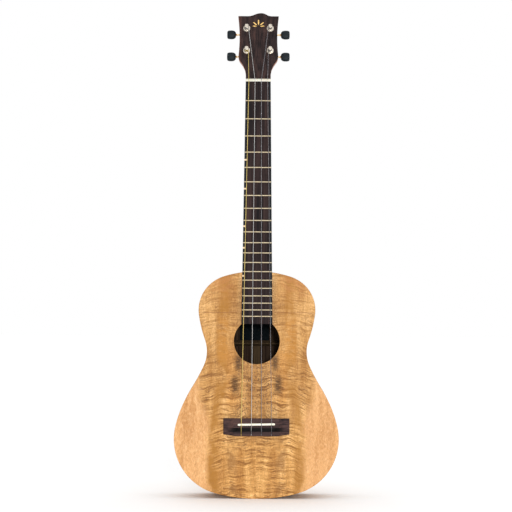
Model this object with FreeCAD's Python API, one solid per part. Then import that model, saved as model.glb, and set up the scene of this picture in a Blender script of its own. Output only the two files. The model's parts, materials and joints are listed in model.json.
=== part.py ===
import FreeCAD, Part
import math
import os

# A baritone ukulele, upright: +Z runs up the neck, the face looks along -Y and +X is the treble side.
# The plane y = 0 is the front of the soundboard and of the neck, where the fretboard is glued.
# The origin is on the centre line, where the two arms of a wall hanger carry the head.

V = FreeCAD.Vector

# ---- driving dimensions, in millimetres and degrees ----
SCALE_LENGTH = 508.0            # nut to saddle
FRET_COUNT = 20
JOINT_FRET = 14                 # this fret stands over the top edge of the body
HANGER_ABOVE_NUT = 24.0         # the origin's height above the nut's playing edge

BODY_DEPTH = 75.0               # front of the soundboard to back of the back
TOP_THICKNESS = 2.2
BACK_THICKNESS = 2.5
SIDE_THICKNESS = 2.0
EDGE_ROUNDING = 0.8
# half outline of the body from the top of the centre line: radius and turn of each tangent arc
BODY_ARCS = (
    (167.0, 17.7), (51.6, 80.1), (185.8, 11.9),
    (51.2, -43.8), (303.8, -7.8),
    (179.5, 18.7), (83.1, 88.3))

SOUNDHOLE_DIAMETER = 68.4
SOUNDHOLE_BELOW_TOP = 103.3     # from the top edge of the body to the soundhole's centre
LINING_WIDTH = 4.5
LINING_HEIGHT = 10.0
BLOCK_WIDTH = 54.0
NECK_BLOCK_LENGTH = 36.0
TAIL_BLOCK_LENGTH = 16.0
BACK_BRACES_BELOW_TOP = (52.0, 109.3, 240.0)
BACK_BRACE_WIDTH = 8.0
LABEL_WIDTH = 44.5              # the dark label glued inside the back, seen through the soundhole
LABEL_LENGTH = 46.0
LABEL_THICKNESS = 0.5
LABEL_X = -3.5                  # of its centre, towards the bass side

NUT_WIDTH = 37.0
NUT_THICKNESS = 3.85
NUT_HEIGHT = 7.0
BOARD_END_WIDTH = 46.0
BOARD_LENGTH = 359.3
BOARD_THICKNESS = 5.0
BINDING_WIDTH = 3.0
FRET_WIDTH = 2.0
FRET_HEIGHT = 0.9
MARKED_FRETS = (5, 7, 10, 12, 15)
MARKER_LENGTH = 3.8
MARKER_DEPTH = 1.6
MARKER_WIDTH = 2.4

NECK_DEPTH_AT_NUT = 16.0        # of the neck's wood alone
NECK_DEPTH_AT_BODY = 18.0
HEEL_CAP_THICKNESS = 3.0

HEAD_TILT = 9.5                 # degrees that the head leans back from the neck
HEAD_WOOD = 10.0
VENEER = 2.0
HEAD_LENGTH = 96.1              # along the slope, from the nut to the square top corners
HEAD_CROWN = 4.7                # rise of the crown above the corners
FLARE_START = 5.0               # above the nut, where the head begins to widen
FLARE_RADIUS = 33.0
FLARE_TURN = 39.5               # degrees
POST_X = 17.5                   # the tuner posts stand this far each side of the centre line
POST_ROWS = {"lower": 43.1, "upper": 77.0}

BRIDGE_LENGTH = 98.0
BRIDGE_HEIGHT = 8.0
BRIDGE_WING_HEIGHT = 3.6
BRIDGE_ABOVE_SADDLE = 8.6       # from the saddle's centre to the bridge's straight upper edge
BRIDGE_BELOW_SADDLE = 17.4
SADDLE_LENGTH = 55.0
SADDLE_THICKNESS = 3.2
SADDLE_TOP = 10.4               # of the saddle's crown above the soundboard
SADDLE_SLANT = 1.1              # degrees that the saddle leans, for a longer bass string

NUT_SPREAD = 27.8               # between the outer strings at the nut
SADDLE_SPREAD = 44.8
# string, diameter, side of the head and row of its tuner, from bass to treble
STRINGS = (
    ("d", 0.90, -1, "lower"),
    ("g", 0.76, -1, "upper"),
    ("b", 0.80, 1, "upper"),
    ("e", 0.64, 1, "lower"),
)

POST_RADIUS = 3.0
POST_WAIST_RADIUS = 2.2
POST_HEIGHT = 15.5              # above the head's face
WAIST_START = 5.5               # heights of the waist above the head's face
WAIST_END = 11.5
SHAFT_BEHIND_HEAD = 3.6         # from the head's back to the worm's axis
GEAR_TEETH = 14
CENTRE_DISTANCE = 5.5           # worm axis to post axis
GEAR_THICKNESS = 2.6
GEAR_PITCH_RADIUS = 3.6
BUTTON_INNER_X = 33.6
BUTTON_OUTER_X = 46.8
BUTTON_WIDTH = 13.4
BUTTON_THICKNESS = 8.0
BUTTON_BORE = 8.0
RUNNING_CLEARANCE = 0.05        # radial, of each shaft in its bearing

# ---- places worked out from them ----
NUT_Z = -HANGER_ABOVE_NUT
HEAD_Z = NUT_Z + NUT_THICKNESS
SADDLE_Z = NUT_Z - SCALE_LENGTH


def fret_z(number):
    """Height of a fret by the rule of the twelfth root of two."""
    return NUT_Z - SCALE_LENGTH * (1 - 2 ** (-number / 12))


BODY_TOP_Z = fret_z(JOINT_FRET)
SOUNDHOLE_Z = BODY_TOP_Z - SOUNDHOLE_BELOW_TOP
BOARD_END_Z = NUT_Z - BOARD_LENGTH
BACK_Y = BODY_DEPTH - BACK_THICKNESS


# ---- small helpers ----
def save(shape, name):
    """Write one sub-part, having checked that every one of its solids is sound."""
    if not shape.Solids:
        raise ValueError(name + " is empty")
    for solid in shape.Solids:
        if not solid.isValid() or solid.Volume <= 0:
            raise ValueError(name + " has a bad solid")
    shape.exportStep("parts/" + name + ".step")
    print(name, len(shape.Solids), "solids", round(shape.Volume, 1), "mm3")


def box(x_range, y_range, z_range):
    """A box between two values on each axis."""
    low = V(x_range[0], y_range[0], z_range[0])
    return Part.makeBox(x_range[1] - x_range[0], y_range[1] - y_range[0], z_range[1] - z_range[0], low)


def line(start, end):
    return Part.LineSegment(start, end).toShape()


def arc(start, middle, end):
    return Part.Arc(start, middle, end).toShape()


def polygon(points):
    """A flat face with straight edges."""
    return Part.Face(Part.makePolygon(list(points) + [points[0]]))


def fused(shapes):
    """Several overlapping shapes as one solid."""
    return shapes[0].multiFuse(shapes[1:]).removeSplitter()


def mirrored(shape):
    """The same shape on the other side of the centre line."""
    return shape.mirror(V(0, 0, 0), V(1, 0, 0))


def board_half_width(z):
    """Half width of the fretboard, which widens evenly from the nut to its end."""
    return NUT_WIDTH / 2 + (BOARD_END_WIDTH - NUT_WIDTH) / 2 * (NUT_Z - z) / BOARD_LENGTH


# ---- body ----
def half_outline_edges(inset):
    """Right half of the body's outline, drawn parallel to the outer edge at a distance inside it."""
    x, z, heading = 0.0, BODY_TOP_Z - inset, 0.0
    edges = []
    arcs = [(math.copysign(radius, turn), math.radians(abs(turn))) for radius, turn in BODY_ARCS]
    closing_turn = math.pi - sum(math.copysign(turn, radius) for radius, turn in arcs)
    for radius, turn in arcs + [(None, closing_turn)]:
        if radius is None:
            bend = x / math.sin(closing_turn)
        else:
            bend = radius - inset
        step = math.copysign(turn, bend)
        centre_x = x - bend * math.sin(heading)
        centre_z = z - bend * math.cos(heading)
        points = []
        for part in (0, 0.5, 1):
            angle = heading + step * part
            points.append(V(centre_x + bend * math.sin(angle), 0, centre_z + bend * math.cos(angle)))
        edges.append(arc(*points))
        x, z = points[2].x, points[2].z
        heading += step
    return edges


def body_face(inset):
    """The whole outline as a flat face at y = 0."""
    edges = half_outline_edges(inset)
    left = [mirrored(edge) for edge in edges]
    return Part.Face(Part.Wire(Part.__sortEdges__(edges + left)))


def body_block(inset, y_start, y_end):
    """The body's outline extruded between two depths."""
    block = body_face(inset).extrude(V(0, y_end - y_start, 0))
    block.translate(V(0, y_start, 0))
    return block


BODY_BOTTOM_Z = body_face(0).BoundBox.ZMin
WIDE = 200.0                    # further out than any part of the body
RIGHT_HALF = box((0, WIDE), (-WIDE, WIDE), (BODY_BOTTOM_Z - 10, BODY_TOP_Z + 10))
LEFT_HALF = box((-WIDE, 0), (-WIDE, WIDE), (BODY_BOTTOM_Z - 10, BODY_TOP_Z + 10))


def outer_edges(plate, y):
    """The edges of a plate's rim that lie in one plane, without those of a hole."""
    rim = []
    for edge in plate.Edges:
        flat = abs(edge.BoundBox.YMin - y) < 1e-6 and abs(edge.BoundBox.YMax - y) < 1e-6
        if flat:
            rim.append(edge)
    return rim


def bookmatched(plate):
    """Two halves that meet along the centre line."""
    return Part.makeCompound([plate.common(LEFT_HALF).Solids[0], plate.common(RIGHT_HALF).Solids[0]])


def soundboard():
    plate = body_block(0, 0, TOP_THICKNESS)
    plate = plate.makeFillet(EDGE_ROUNDING, outer_edges(plate, 0))
    hole_start = V(0, -TOP_THICKNESS, SOUNDHOLE_Z)
    hole = Part.makeCylinder(SOUNDHOLE_DIAMETER / 2, 3 * TOP_THICKNESS, hole_start, V(0, 1, 0))
    return bookmatched(plate.cut(hole))


def back():
    plate = body_block(0, BACK_Y, BODY_DEPTH)
    plate = plate.makeFillet(EDGE_ROUNDING, outer_edges(plate, BODY_DEPTH))
    return bookmatched(plate)


def strip_ring(outer_inset, inner_inset, y_start, y_end):
    """A strip that follows the outline between two distances inside it."""
    return body_block(outer_inset, y_start, y_end).cut(body_block(inner_inset, y_start - 1, y_end + 1))


def dovetail():
    """The tongue on the heel that locks the neck into the neck block."""
    root = 8.0
    flare = 11.5
    depth = 15.0
    front_y = 7.0
    height = 55.0
    in_heel_z = BODY_TOP_Z + 6
    shape = polygon([
        V(-root, front_y, in_heel_z),
        V(root, front_y, in_heel_z),
        V(root, front_y, BODY_TOP_Z),
        V(flare, front_y, BODY_TOP_Z - depth),
        V(-flare, front_y, BODY_TOP_Z - depth),
        V(-root, front_y, BODY_TOP_Z),
    ])
    return shape.extrude(V(0, height, 0))


def sides(tongue):
    """The bent bass and treble sides, which meet at the tail and under the heel."""
    ring = strip_ring(0, SIDE_THICKNESS, TOP_THICKNESS, BACK_Y).cut(tongue)
    return ring.common(LEFT_HALF), ring.common(RIGHT_HALF)


def end_blocks(tongue):
    """Neck block and tail block, shaped to the inside of the bent sides."""
    inside = body_block(SIDE_THICKNESS, TOP_THICKNESS, BACK_Y)
    half = BLOCK_WIDTH / 2
    depths = (0, BODY_DEPTH)
    neck_block = inside.common(box((-half, half), depths, (BODY_TOP_Z - NECK_BLOCK_LENGTH, BODY_TOP_Z)))
    tail_reach = (BODY_BOTTOM_Z, BODY_BOTTOM_Z + TAIL_BLOCK_LENGTH)
    tail_block = inside.common(box((-half, half), depths, tail_reach))
    return neck_block.cut(tongue), tail_block


def linings(y_start, y_end, blocks):
    """Bent strips that widen the glue joint between a plate and the sides, one each side."""
    ring = strip_ring(SIDE_THICKNESS, SIDE_THICKNESS + LINING_WIDTH, y_start, y_end)
    for block in blocks:
        ring = ring.cut(block)
    return Part.makeCompound([ring.common(LEFT_HALF).Solids[0], ring.common(RIGHT_HALF).Solids[0]])


def brace(z, height, width, plate_y, inward):
    """A gabled cross bar glued inside a plate, cut off at the linings."""
    half = width / 2
    shoulder = height * 0.3
    ridge = width * 0.1
    profile = [(-half, 0), (half, 0), (half, shoulder), (ridge, height), (-ridge, height), (-half, shoulder)]
    face = polygon([V(-WIDE, plate_y + inward * up, z + across) for across, up in profile])
    inside = body_block(SIDE_THICKNESS + LINING_WIDTH, 0, BODY_DEPTH)
    return face.extrude(V(2 * WIDE, 0, 0)).common(inside)


def back_bracing():
    """Three cross bars inside the back."""
    height = 10.0
    return [brace(BODY_TOP_Z - drop, height, BACK_BRACE_WIDTH, BACK_Y, -1) for drop in BACK_BRACES_BELOW_TOP]


def transverse_bracing():
    """The bars above and below the soundhole, inside the soundboard."""
    height = 9.0
    width = 7.0
    reach = SOUNDHOLE_DIAMETER / 2 + 15
    return [brace(SOUNDHOLE_Z + offset, height, width, TOP_THICKNESS, 1) for offset in (reach, -reach)]


def bridge_plate():
    """The patch inside the soundboard that backs the bridge."""
    margin = 5.0
    half = 60.0
    thickness = 2.0
    z_range = (SADDLE_Z - BRIDGE_BELOW_SADDLE - margin, SADDLE_Z + BRIDGE_ABOVE_SADDLE + margin)
    return box((-half, half), (TOP_THICKNESS, TOP_THICKNESS + thickness), z_range)


def fan_bracing(plate, tail_block):
    """Three light bars that spread over the bridge plate towards the tail."""
    half_width = 2.5
    height = 6.0
    spacing = 22.4
    spread = 14.0               # degrees between neighbours
    top_z = SOUNDHOLE_Z - SOUNDHOLE_DIAMETER / 2 - 24
    length = top_z - BODY_BOTTOM_Z - 30
    bars = []
    for place in (-1, 0, 1):
        bar = box((-half_width, half_width), (TOP_THICKNESS, TOP_THICKNESS + height), (-length, 0))
        bar.rotate(V(0, 0, 0), V(0, 1, 0), spread * place)
        bar.translate(V(-spacing * place, 0, top_z))
        bars.append(bar.cut(plate).cut(tail_block))
    return Part.makeCompound(bars)


def soundhole_ring():
    """A thin ring glued round the soundhole on the inside."""
    inner_radius = SOUNDHOLE_DIAMETER / 2 + 0.6
    width = 9.4
    thickness = 1.6
    start = V(0, TOP_THICKNESS, SOUNDHOLE_Z)
    outer = Part.makeCylinder(inner_radius + width, thickness, start, V(0, 1, 0))
    return outer.cut(Part.makeCylinder(inner_radius, thickness, start, V(0, 1, 0)))


def label():
    """A plain card label on the back, standing just above the middle brace."""
    half = LABEL_WIDTH / 2
    low_z = BODY_TOP_Z - BACK_BRACES_BELOW_TOP[1] + BACK_BRACE_WIDTH / 2 + 0.5
    depths = (BACK_Y - LABEL_THICKNESS, BACK_Y)
    return box((LABEL_X - half, LABEL_X + half), depths, (low_z, low_z + LABEL_LENGTH))


def back_strip(braces, blocks):
    """The flat strip over the back's seam, in lengths between the braces, left out behind the label."""
    half = 5.0
    thickness = 1.8
    margin = 4.0
    strip = box((-half, half), (BACK_Y - thickness, BACK_Y), (BODY_BOTTOM_Z + margin, BODY_TOP_Z - margin))
    label_bay = box((-half, half), (0, BODY_DEPTH),
                    (BODY_TOP_Z - BACK_BRACES_BELOW_TOP[1], BODY_TOP_Z - BACK_BRACES_BELOW_TOP[0]))
    for piece in braces + blocks + [label_bay]:
        strip = strip.cut(piece)
    return strip


# ---- neck ----
def neck_section(z, half_width, front_y, depth):
    """A closed D-shaped wire across the neck, flat in front and half an ellipse behind."""
    cheek = 2.0
    start_y = front_y + cheek
    oval = Part.Ellipse(V(half_width, start_y, z), V(0, front_y + depth, z), V(0, start_y, z))
    belly = Part.ArcOfEllipse(oval, 0, math.pi).toShape()
    right = line(V(half_width, front_y, z), V(half_width, start_y, z))
    left = line(V(-half_width, start_y, z), V(-half_width, front_y, z))
    front = line(V(-half_width, front_y, z), V(half_width, front_y, z))
    return Part.Wire([right, belly, left, front])


def heel_section(y, half_width, reach):
    """A closed U-shaped wire across the heel, rounded towards the head."""
    oval = Part.Ellipse(V(0, y, BODY_TOP_Z + reach), V(half_width, y, BODY_TOP_Z), V(0, y, BODY_TOP_Z))
    crown = Part.ArcOfEllipse(oval, -math.pi / 2, math.pi / 2).toShape()
    inner_z = BODY_TOP_Z - 8
    ends = [vertex.Point for vertex in crown.Vertexes]
    down = line(ends[1], V(ends[1].x, y, inner_z))
    across = line(V(ends[1].x, y, inner_z), V(ends[0].x, y, inner_z))
    up = line(V(ends[0].x, y, inner_z), ends[0])
    return Part.Wire([crown, down, across, up])


def heel():
    """The foot of the neck, which sweeps back from the neck's belly and narrows to the cap."""
    front_y = 5.0
    end_y = BODY_DEPTH - HEEL_CAP_THICKNESS
    sections = []
    count = 9
    for index in range(count):
        share = index / (count - 1)
        y = front_y + (end_y - front_y) * share
        sections.append(heel_section(y, *heel_size(share)))
    return Part.makeLoft(sections, True, False)


def heel_size(share):
    """Half width and reach of the heel, from its front (0) to its back (1)."""
    half_width = 12.0 + 7.6 * (1 - share) ** 1.6
    reach = 14.5 + 46.0 * (1 - share) ** 3.4
    return half_width, reach


def heel_cap():
    """The thin plate that closes the back of the heel."""
    wire = heel_section(BODY_DEPTH - HEEL_CAP_THICKNESS, *heel_size(1))
    plate = Part.Face(wire).extrude(V(0, HEEL_CAP_THICKNESS, 0))
    return plate.cut(body_block(0, 0, BODY_DEPTH))


def on_head(shape):
    """Place a shape drawn on an upright head: x across, y into the wood, z up from the nut."""
    placed = shape.copy()
    placed.rotate(V(0, 0, 0), V(1, 0, 0), -HEAD_TILT)
    placed.translate(V(0, 0, HEAD_Z))
    return placed


def on_head_point(x, y, z):
    """The same placing for one point."""
    tilt = math.radians(HEAD_TILT)
    return V(x, y * math.cos(tilt) + z * math.sin(tilt), HEAD_Z - y * math.sin(tilt) + z * math.cos(tilt))


def s_curve(start, end):
    """Two equal arcs that leave and arrive level, from one point to another."""
    run = end[0] - start[0]
    rise = end[1] - start[1]
    turn = 2 * math.atan2(abs(rise), abs(run))
    radius = abs(run) / (2 * math.sin(turn))
    side = math.copysign(1, run)
    upward = math.copysign(1, rise)
    edges = []
    middle = V(start[0] + run / 2, 0, start[1] + rise / 2)
    bow_x = radius * math.sin(turn / 2)
    bow_z = radius * (1 - math.cos(turn / 2))
    first = V(start[0] + side * bow_x, 0, start[1] + upward * bow_z)
    second = V(end[0] - side * bow_x, 0, end[1] - upward * bow_z)
    edges.append(arc(V(start[0], 0, start[1]), first, middle))
    edges.append(arc(middle, second, V(end[0], 0, end[1])))
    return edges


def head_face():
    """Outline of the head: flared up from the nut, waisted sides and a low crown on top."""
    neck_half = NUT_WIDTH / 2
    flare_turn = math.radians(FLARE_TURN)
    shoulder_radius = 15.0
    corner_half = 30.1
    waist_half = 28.0
    waist_z = 62.8
    flare_end_x = neck_half + FLARE_RADIUS * (1 - math.cos(flare_turn))
    flare_end_z = FLARE_START + FLARE_RADIUS * math.sin(flare_turn)
    shoulder_x = flare_end_x + shoulder_radius * (1 - math.cos(flare_turn))
    shoulder_z = flare_end_z + shoulder_radius * math.sin(flare_turn)
    half_turn = flare_turn / 2
    half_away = 1 - math.cos(half_turn)
    half_along = math.sin(half_turn)
    flare_mid = V(neck_half + FLARE_RADIUS * half_away, 0, FLARE_START + FLARE_RADIUS * half_along)
    shoulder_mid = V(shoulder_x - shoulder_radius * half_away, 0, shoulder_z - shoulder_radius * half_along)
    side = [
        line(V(neck_half, 0, -3), V(neck_half, 0, FLARE_START)),
        arc(V(neck_half, 0, FLARE_START), flare_mid, V(flare_end_x, 0, flare_end_z)),
        arc(V(flare_end_x, 0, flare_end_z), shoulder_mid, V(shoulder_x, 0, shoulder_z)),
        arc(V(shoulder_x, 0, shoulder_z), V(waist_half, 0, waist_z), V(corner_half, 0, HEAD_LENGTH)),
    ]
    crown_left = -16.0
    crown_peak = 4.0
    crown_right = 20.0
    top = [
        line(V(-corner_half, 0, HEAD_LENGTH), V(crown_left, 0, HEAD_LENGTH)),
        line(V(crown_right, 0, HEAD_LENGTH), V(corner_half, 0, HEAD_LENGTH)),
    ]
    top += s_curve((crown_left, HEAD_LENGTH), (crown_peak, HEAD_LENGTH + HEAD_CROWN))
    top += s_curve((crown_right, HEAD_LENGTH), (crown_peak, HEAD_LENGTH + HEAD_CROWN))
    foot = [line(V(-neck_half, 0, -3), V(neck_half, 0, -3))]
    edges = side + [mirrored(edge) for edge in side] + top + foot
    return Part.Face(Part.Wire(Part.__sortEdges__(edges)))


def flare_half_width(rise):
    """Half width of the head at a height above the nut, up to the end of the flare."""
    above = max(0.0, rise - FLARE_START)
    return NUT_WIDTH / 2 + FLARE_RADIUS - math.sqrt(FLARE_RADIUS ** 2 - above ** 2)


def swell_section(rise, half_width, depth):
    """A closed D-shaped wire across the upright head, as deep as it needs to be."""
    cheek = 2.0
    count = 12
    points = []
    for index in range(count + 1):
        angle = math.pi * index / count
        points.append(V(half_width * math.cos(angle), cheek + (depth - cheek) * math.sin(angle), rise))
    belly = Part.BSplineCurve()
    belly.interpolate(points)
    corners = [points[-1], V(-half_width, 0, rise), V(half_width, 0, rise), points[0]]
    flats = [line(start, end) for start, end in zip(corners, corners[1:])]
    return Part.Wire([belly.toShape()] + flats)


def head_plate():
    """The flat head, whose back corners round off into the belly of the neck behind the nut."""
    skin = 0.02                 # keeps the sides of the swell just outside the head's sides
    blend_height = 26.0
    depths = ((-4.0, 16.0), (0.0, 16.0), (7.0, 20.0), (14.0, 30.0), (21.0, 56.0), (blend_height, 110.0))
    swell = [swell_section(rise, flare_half_width(rise) + skin, depth) for rise, depth in depths]
    plate = head_face().extrude(V(0, HEAD_WOOD, 0))
    low = plate.common(box((-WIDE, WIDE), (-WIDE, WIDE), (-WIDE, blend_height)))
    return [low.common(Part.makeLoft(swell, True, True)), plate.cut(low)]


def post_places():
    """Centre of each tuner post on the upright head, with the string that it holds."""
    return [(name, side * POST_X, POST_ROWS[row], side) for name, _, side, row in STRINGS]


BUSHING_RADIUS = 4.2
COLLAR_RADIUS = 5.4
COLLAR_THICKNESS = 1.4
BUSHING_LENGTH = 7.0            # of the barrel, below the head's face
PLATE_THICKNESS = 1.0
SCREW_RADIUS = 0.8
SCREW_DEPTH = 6.0               # of the pilot holes in the head
PLATE_SCREWS = ((-6.2, 4.6), (6.2, 4.6))    # from the post's axis


def head_holes():
    """The bored holes for bushings and posts and the pilot holes for the plate screws."""
    barrel_length = VENEER + BUSHING_LENGTH
    cutters = []
    for _, x, z, _ in post_places():
        cutters.append(Part.makeCylinder(BUSHING_RADIUS, barrel_length, V(x, -VENEER, z), V(0, 1, 0)))
        cutters.append(Part.makeCylinder(POST_RADIUS + 0.6, HEAD_WOOD, V(x, 0, z), V(0, 1, 0)))
        for across, up in PLATE_SCREWS:
            start = V(x + across, HEAD_WOOD - SCREW_DEPTH, z + up)
            cutters.append(Part.makeCylinder(SCREW_RADIUS, SCREW_DEPTH, start, V(0, 1, 0)))
    return on_head(Part.makeCompound(cutters))


def neck(tongue):
    """Neck, head and heel, carved from one piece of wood."""
    rise = 18.0                 # the neck's round belly fades out this far above the nut
    root = HEAD_Z + rise
    front_there = rise * math.tan(math.radians(HEAD_TILT))
    nut_half = NUT_WIDTH / 2
    shaft = Part.makeLoft([
        neck_section(NUT_Z, nut_half, 0, NECK_DEPTH_AT_NUT),
        neck_section(BODY_TOP_Z - 6, board_half_width(BODY_TOP_Z), 0, NECK_DEPTH_AT_BODY),
    ], True, True)
    throat = Part.makeLoft([
        neck_section(NUT_Z, nut_half, 0, NECK_DEPTH_AT_NUT),
        neck_section(root, nut_half, front_there, HEAD_WOOD + 0.3),
    ], True, True)
    above_nut = box((-WIDE, WIDE), (-WIDE, WIDE), (HEAD_Z, HEAD_Z + WIDE))
    plates = [on_head(plate).common(above_nut) for plate in head_plate()]
    in_front = on_head(box((-WIDE, WIDE), (-WIDE, 0), (0, WIDE)))
    throat = throat.cut(in_front)
    foot = heel().cut(body_block(0, -1, BODY_DEPTH + 1))
    shaft = shaft.cut(body_block(0, -1, BODY_DEPTH + 1))
    whole = fused([shaft, throat, foot, tongue] + plates)
    return whole.cut(head_holes())


def leaf(x, z, length, width, angle):
    """A pointed leaf with two curved edges, standing on its lower tip."""
    half = length / 2
    tip = V(0, 0, length)
    base = V(0, 0, 0)
    edges = [arc(base, V(width / 2, 0, half), tip), arc(tip, V(-width / 2, 0, half), base)]
    shape = Part.Face(Part.Wire(edges)).extrude(V(0, 0.6, 0))
    shape.rotate(V(0, 0, 0), V(0, 1, 0), angle)
    shape.translate(V(x, -VENEER, z))
    return shape


def head_inlay():
    """A plain ornament of five leaves let into the face of the head."""
    z = 82.0
    leaves = [leaf(0, z, 9.0, 2.0, 0)]
    for side in (-1, 1):
        leaves.append(leaf(1.9 * side, z, 8.0, 1.7, 52 * side))
        leaves.append(leaf(2.6 * side, z - 1.6, 6.5, 1.5, 84 * side))
    return on_head(Part.makeCompound(leaves))


def head_veneer(inlay):
    plate = head_face().extrude(V(0, VENEER, 0))
    plate.translate(V(0, -VENEER, 0))
    plate = on_head(plate).common(box((-WIDE, WIDE), (-WIDE, WIDE), (HEAD_Z, HEAD_Z + WIDE)))
    return plate.cut(head_holes()).cut(inlay)


# ---- fretboard ----
def board_blank(inset):
    """The tapering board with both long edges drawn in by a distance."""
    near = board_half_width(NUT_Z) - inset
    far = board_half_width(BOARD_END_Z) - inset
    face = polygon([V(-near, 0, NUT_Z), V(near, 0, NUT_Z), V(far, 0, BOARD_END_Z), V(-far, 0, BOARD_END_Z)])
    return face.extrude(V(0, -BOARD_THICKNESS, 0))


def marker_blocks():
    """Small bars let into the bass edge of the board, between the frets that they mark."""
    blocks = []
    for number in MARKED_FRETS:
        z = (fret_z(number) + fret_z(number - 1)) / 2
        edge = -board_half_width(z)
        z_range = (z - MARKER_WIDTH / 2, z + MARKER_WIDTH / 2)
        depths = (-BOARD_THICKNESS, -BOARD_THICKNESS + MARKER_DEPTH)
        blocks.append(box((edge - 1, edge + MARKER_LENGTH), depths, z_range))
    return Part.makeCompound(blocks).common(board_blank(0))


FRET_SLOT_DEPTH = 1.8
FRET_TANG = 0.5


def fret_tang(number):
    """The thin leg of a fret, which stops short of the binding."""
    z = fret_z(number)
    half = board_half_width(z) - BINDING_WIDTH - 0.4
    return box((-half, half), (-BOARD_THICKNESS, -BOARD_THICKNESS + FRET_SLOT_DEPTH),
               (z - FRET_TANG / 2, z + FRET_TANG / 2))


def fret_end_bevels():
    """Long wedges that slope off the fret ends along both edges of the board."""
    wedges = []
    front = -BOARD_THICKNESS
    slope = 0.6
    above = 3.0
    wires = []
    for z in (NUT_Z, BOARD_END_Z):
        half = board_half_width(z)
        corners = [
            V(half, front, z),
            V(half - slope * above, front - above, z),
            V(half + above, front - above, z),
            V(half + above, front, z),
        ]
        wires.append(Part.makePolygon(corners + [corners[0]]))
    wedge = Part.makeLoft(wires, True, True)
    wedges.append(wedge)
    wedges.append(mirrored(wedge))
    return Part.makeCompound(wedges)


def frets():
    """Rounded metal bars across the board, one solid each."""
    bevels = fret_end_bevels()
    bars = []
    for number in range(1, FRET_COUNT + 1):
        z = fret_z(number)
        half = board_half_width(z)
        front = -BOARD_THICKNESS
        reach = FRET_WIDTH / 2
        low = V(-half, front, z - reach)
        high = V(-half, front, z + reach)
        crown = V(-half, front - FRET_HEIGHT, z)
        face = Part.Face(Part.Wire([arc(low, crown, high), line(high, low)]))
        bar = face.extrude(V(2 * half, 0, 0)).cut(bevels)
        bars.append(fused([bar, fret_tang(number)]))
    return Part.makeCompound(bars)


def fretboard(markers):
    """The wooden board between its bindings, slotted for the frets."""
    tangs = Part.makeCompound([fret_tang(number) for number in range(1, FRET_COUNT + 1)])
    return board_blank(BINDING_WIDTH).cut(tangs).cut(markers)


def binding(markers):
    """A dark strip along each edge of the board."""
    return board_blank(0).cut(board_blank(BINDING_WIDTH)).cut(markers)


# ---- strings, nut, bridge and saddle ----
def string_x(index, spread):
    """Place of a string across an evenly spaced set."""
    return spread * (index / (len(STRINGS) - 1) - 0.5)


NUT_FLAT = 1.2                  # the nut's level strip behind its playing edge
NUT_DROP = 0.7                  # how far its top falls towards the head
NUT_STRING_Y = -6.3             # the strings' undersides at the nut
STRING_END_GAP = 0.12           # between a string's end and the turns on its post
KNOT_RADIUS = 1.4
KNOT_Y = -5.0
KNOT_ABOVE_EDGE = 2.0           # from the bridge's lower edge to the knot's centre
KNOT_CLEARANCE = 0.1            # between a knot and its pocket
TIE_SLOT_CLEARANCE = 0.35       # each side of a string in the tie block
WRAP_TURNS = 3


def wrap_radius(diameter):
    """From a post's axis to the centre of the string wound on it."""
    return POST_WAIST_RADIUS + diameter / 2


def wrap_height(diameter):
    """Height above the head's face at which a string meets its post."""
    return WAIST_START + 0.3 + diameter / 2


def string_points(index):
    """The string's centre line: knot, saddle, nut and the place where it nears its post."""
    _, diameter, side, row = STRINGS[index]
    radius = diameter / 2
    knot = V(string_x(index, SADDLE_SPREAD), KNOT_Y, SADDLE_Z - BRIDGE_BELOW_SADDLE + KNOT_ABOVE_EDGE)
    saddle_x = string_x(index, SADDLE_SPREAD)
    saddle_z = SADDLE_Z + saddle_x * math.tan(math.radians(SADDLE_SLANT))
    saddle = V(saddle_x, -SADDLE_TOP - radius, saddle_z)
    nut = V(string_x(index, NUT_SPREAD), NUT_STRING_Y - radius, NUT_Z + NUT_FLAT / 2)
    ring = wrap_radius(diameter)
    post_z = POST_ROWS[row]
    gap_x = side * POST_X - nut.x
    distance = math.hypot(gap_x, post_z)
    lean = math.atan2(gap_x, post_z) - side * math.asin(ring / distance)
    tangent_run = math.sqrt(distance ** 2 - ring ** 2)
    clear = math.sqrt((ring + radius + STRING_END_GAP) ** 2 - (ring - radius) ** 2)
    share = (tangent_run - clear) / tangent_run
    touch = on_head_point(
        nut.x + tangent_run * math.sin(lean), -VENEER - wrap_height(diameter), tangent_run * math.cos(lean))
    end = nut + (touch - nut) * share
    return [knot, saddle, nut, end]


def tube(points, radius):
    """A round cord along straight runs, mitred where they meet."""
    path = Part.makePolygon(points)
    circle = Part.Wire(Part.makeCircle(radius, points[0], points[1] - points[0]))
    return path.makePipeShell([circle], True, False, 1)


def string(index):
    """One string with its knot."""
    points = string_points(index)
    cord = tube(points, STRINGS[index][1] / 2)
    return fused([cord, Part.makeSphere(KNOT_RADIUS, points[0])])


def grooved(bar):
    """A bar of bone with a groove where each string crosses it."""
    for index, (_, diameter, _, _) in enumerate(STRINGS):
        bar = bar.cut(tube(string_points(index), diameter / 2 + 0.02))
    return bar


def nut():
    """The grooved bone bar that the strings leave the fretboard over."""
    half = NUT_WIDTH / 2
    profile = [
        V(-half, 0, NUT_Z),
        V(-half, -NUT_HEIGHT, NUT_Z),
        V(-half, -NUT_HEIGHT, NUT_Z + NUT_FLAT),
        V(-half, NUT_DROP - NUT_HEIGHT, HEAD_Z),
        V(-half, 0, HEAD_Z),
    ]
    return grooved(polygon(profile).extrude(V(NUT_WIDTH, 0, 0)))


def stadium(length, width, y_start, y_end, z):
    """A bar with round ends, lying across the body."""
    straight = length / 2 - width / 2
    middle = box((-straight, straight), (y_start, y_end), (z - width / 2, z + width / 2))
    ends = [Part.makeCylinder(width / 2, y_end - y_start, V(side * straight, y_start, z), V(0, 1, 0))
            for side in (-1, 1)]
    return fused([middle] + ends)


SADDLE_SLOT_FLOOR = -3.8


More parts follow.
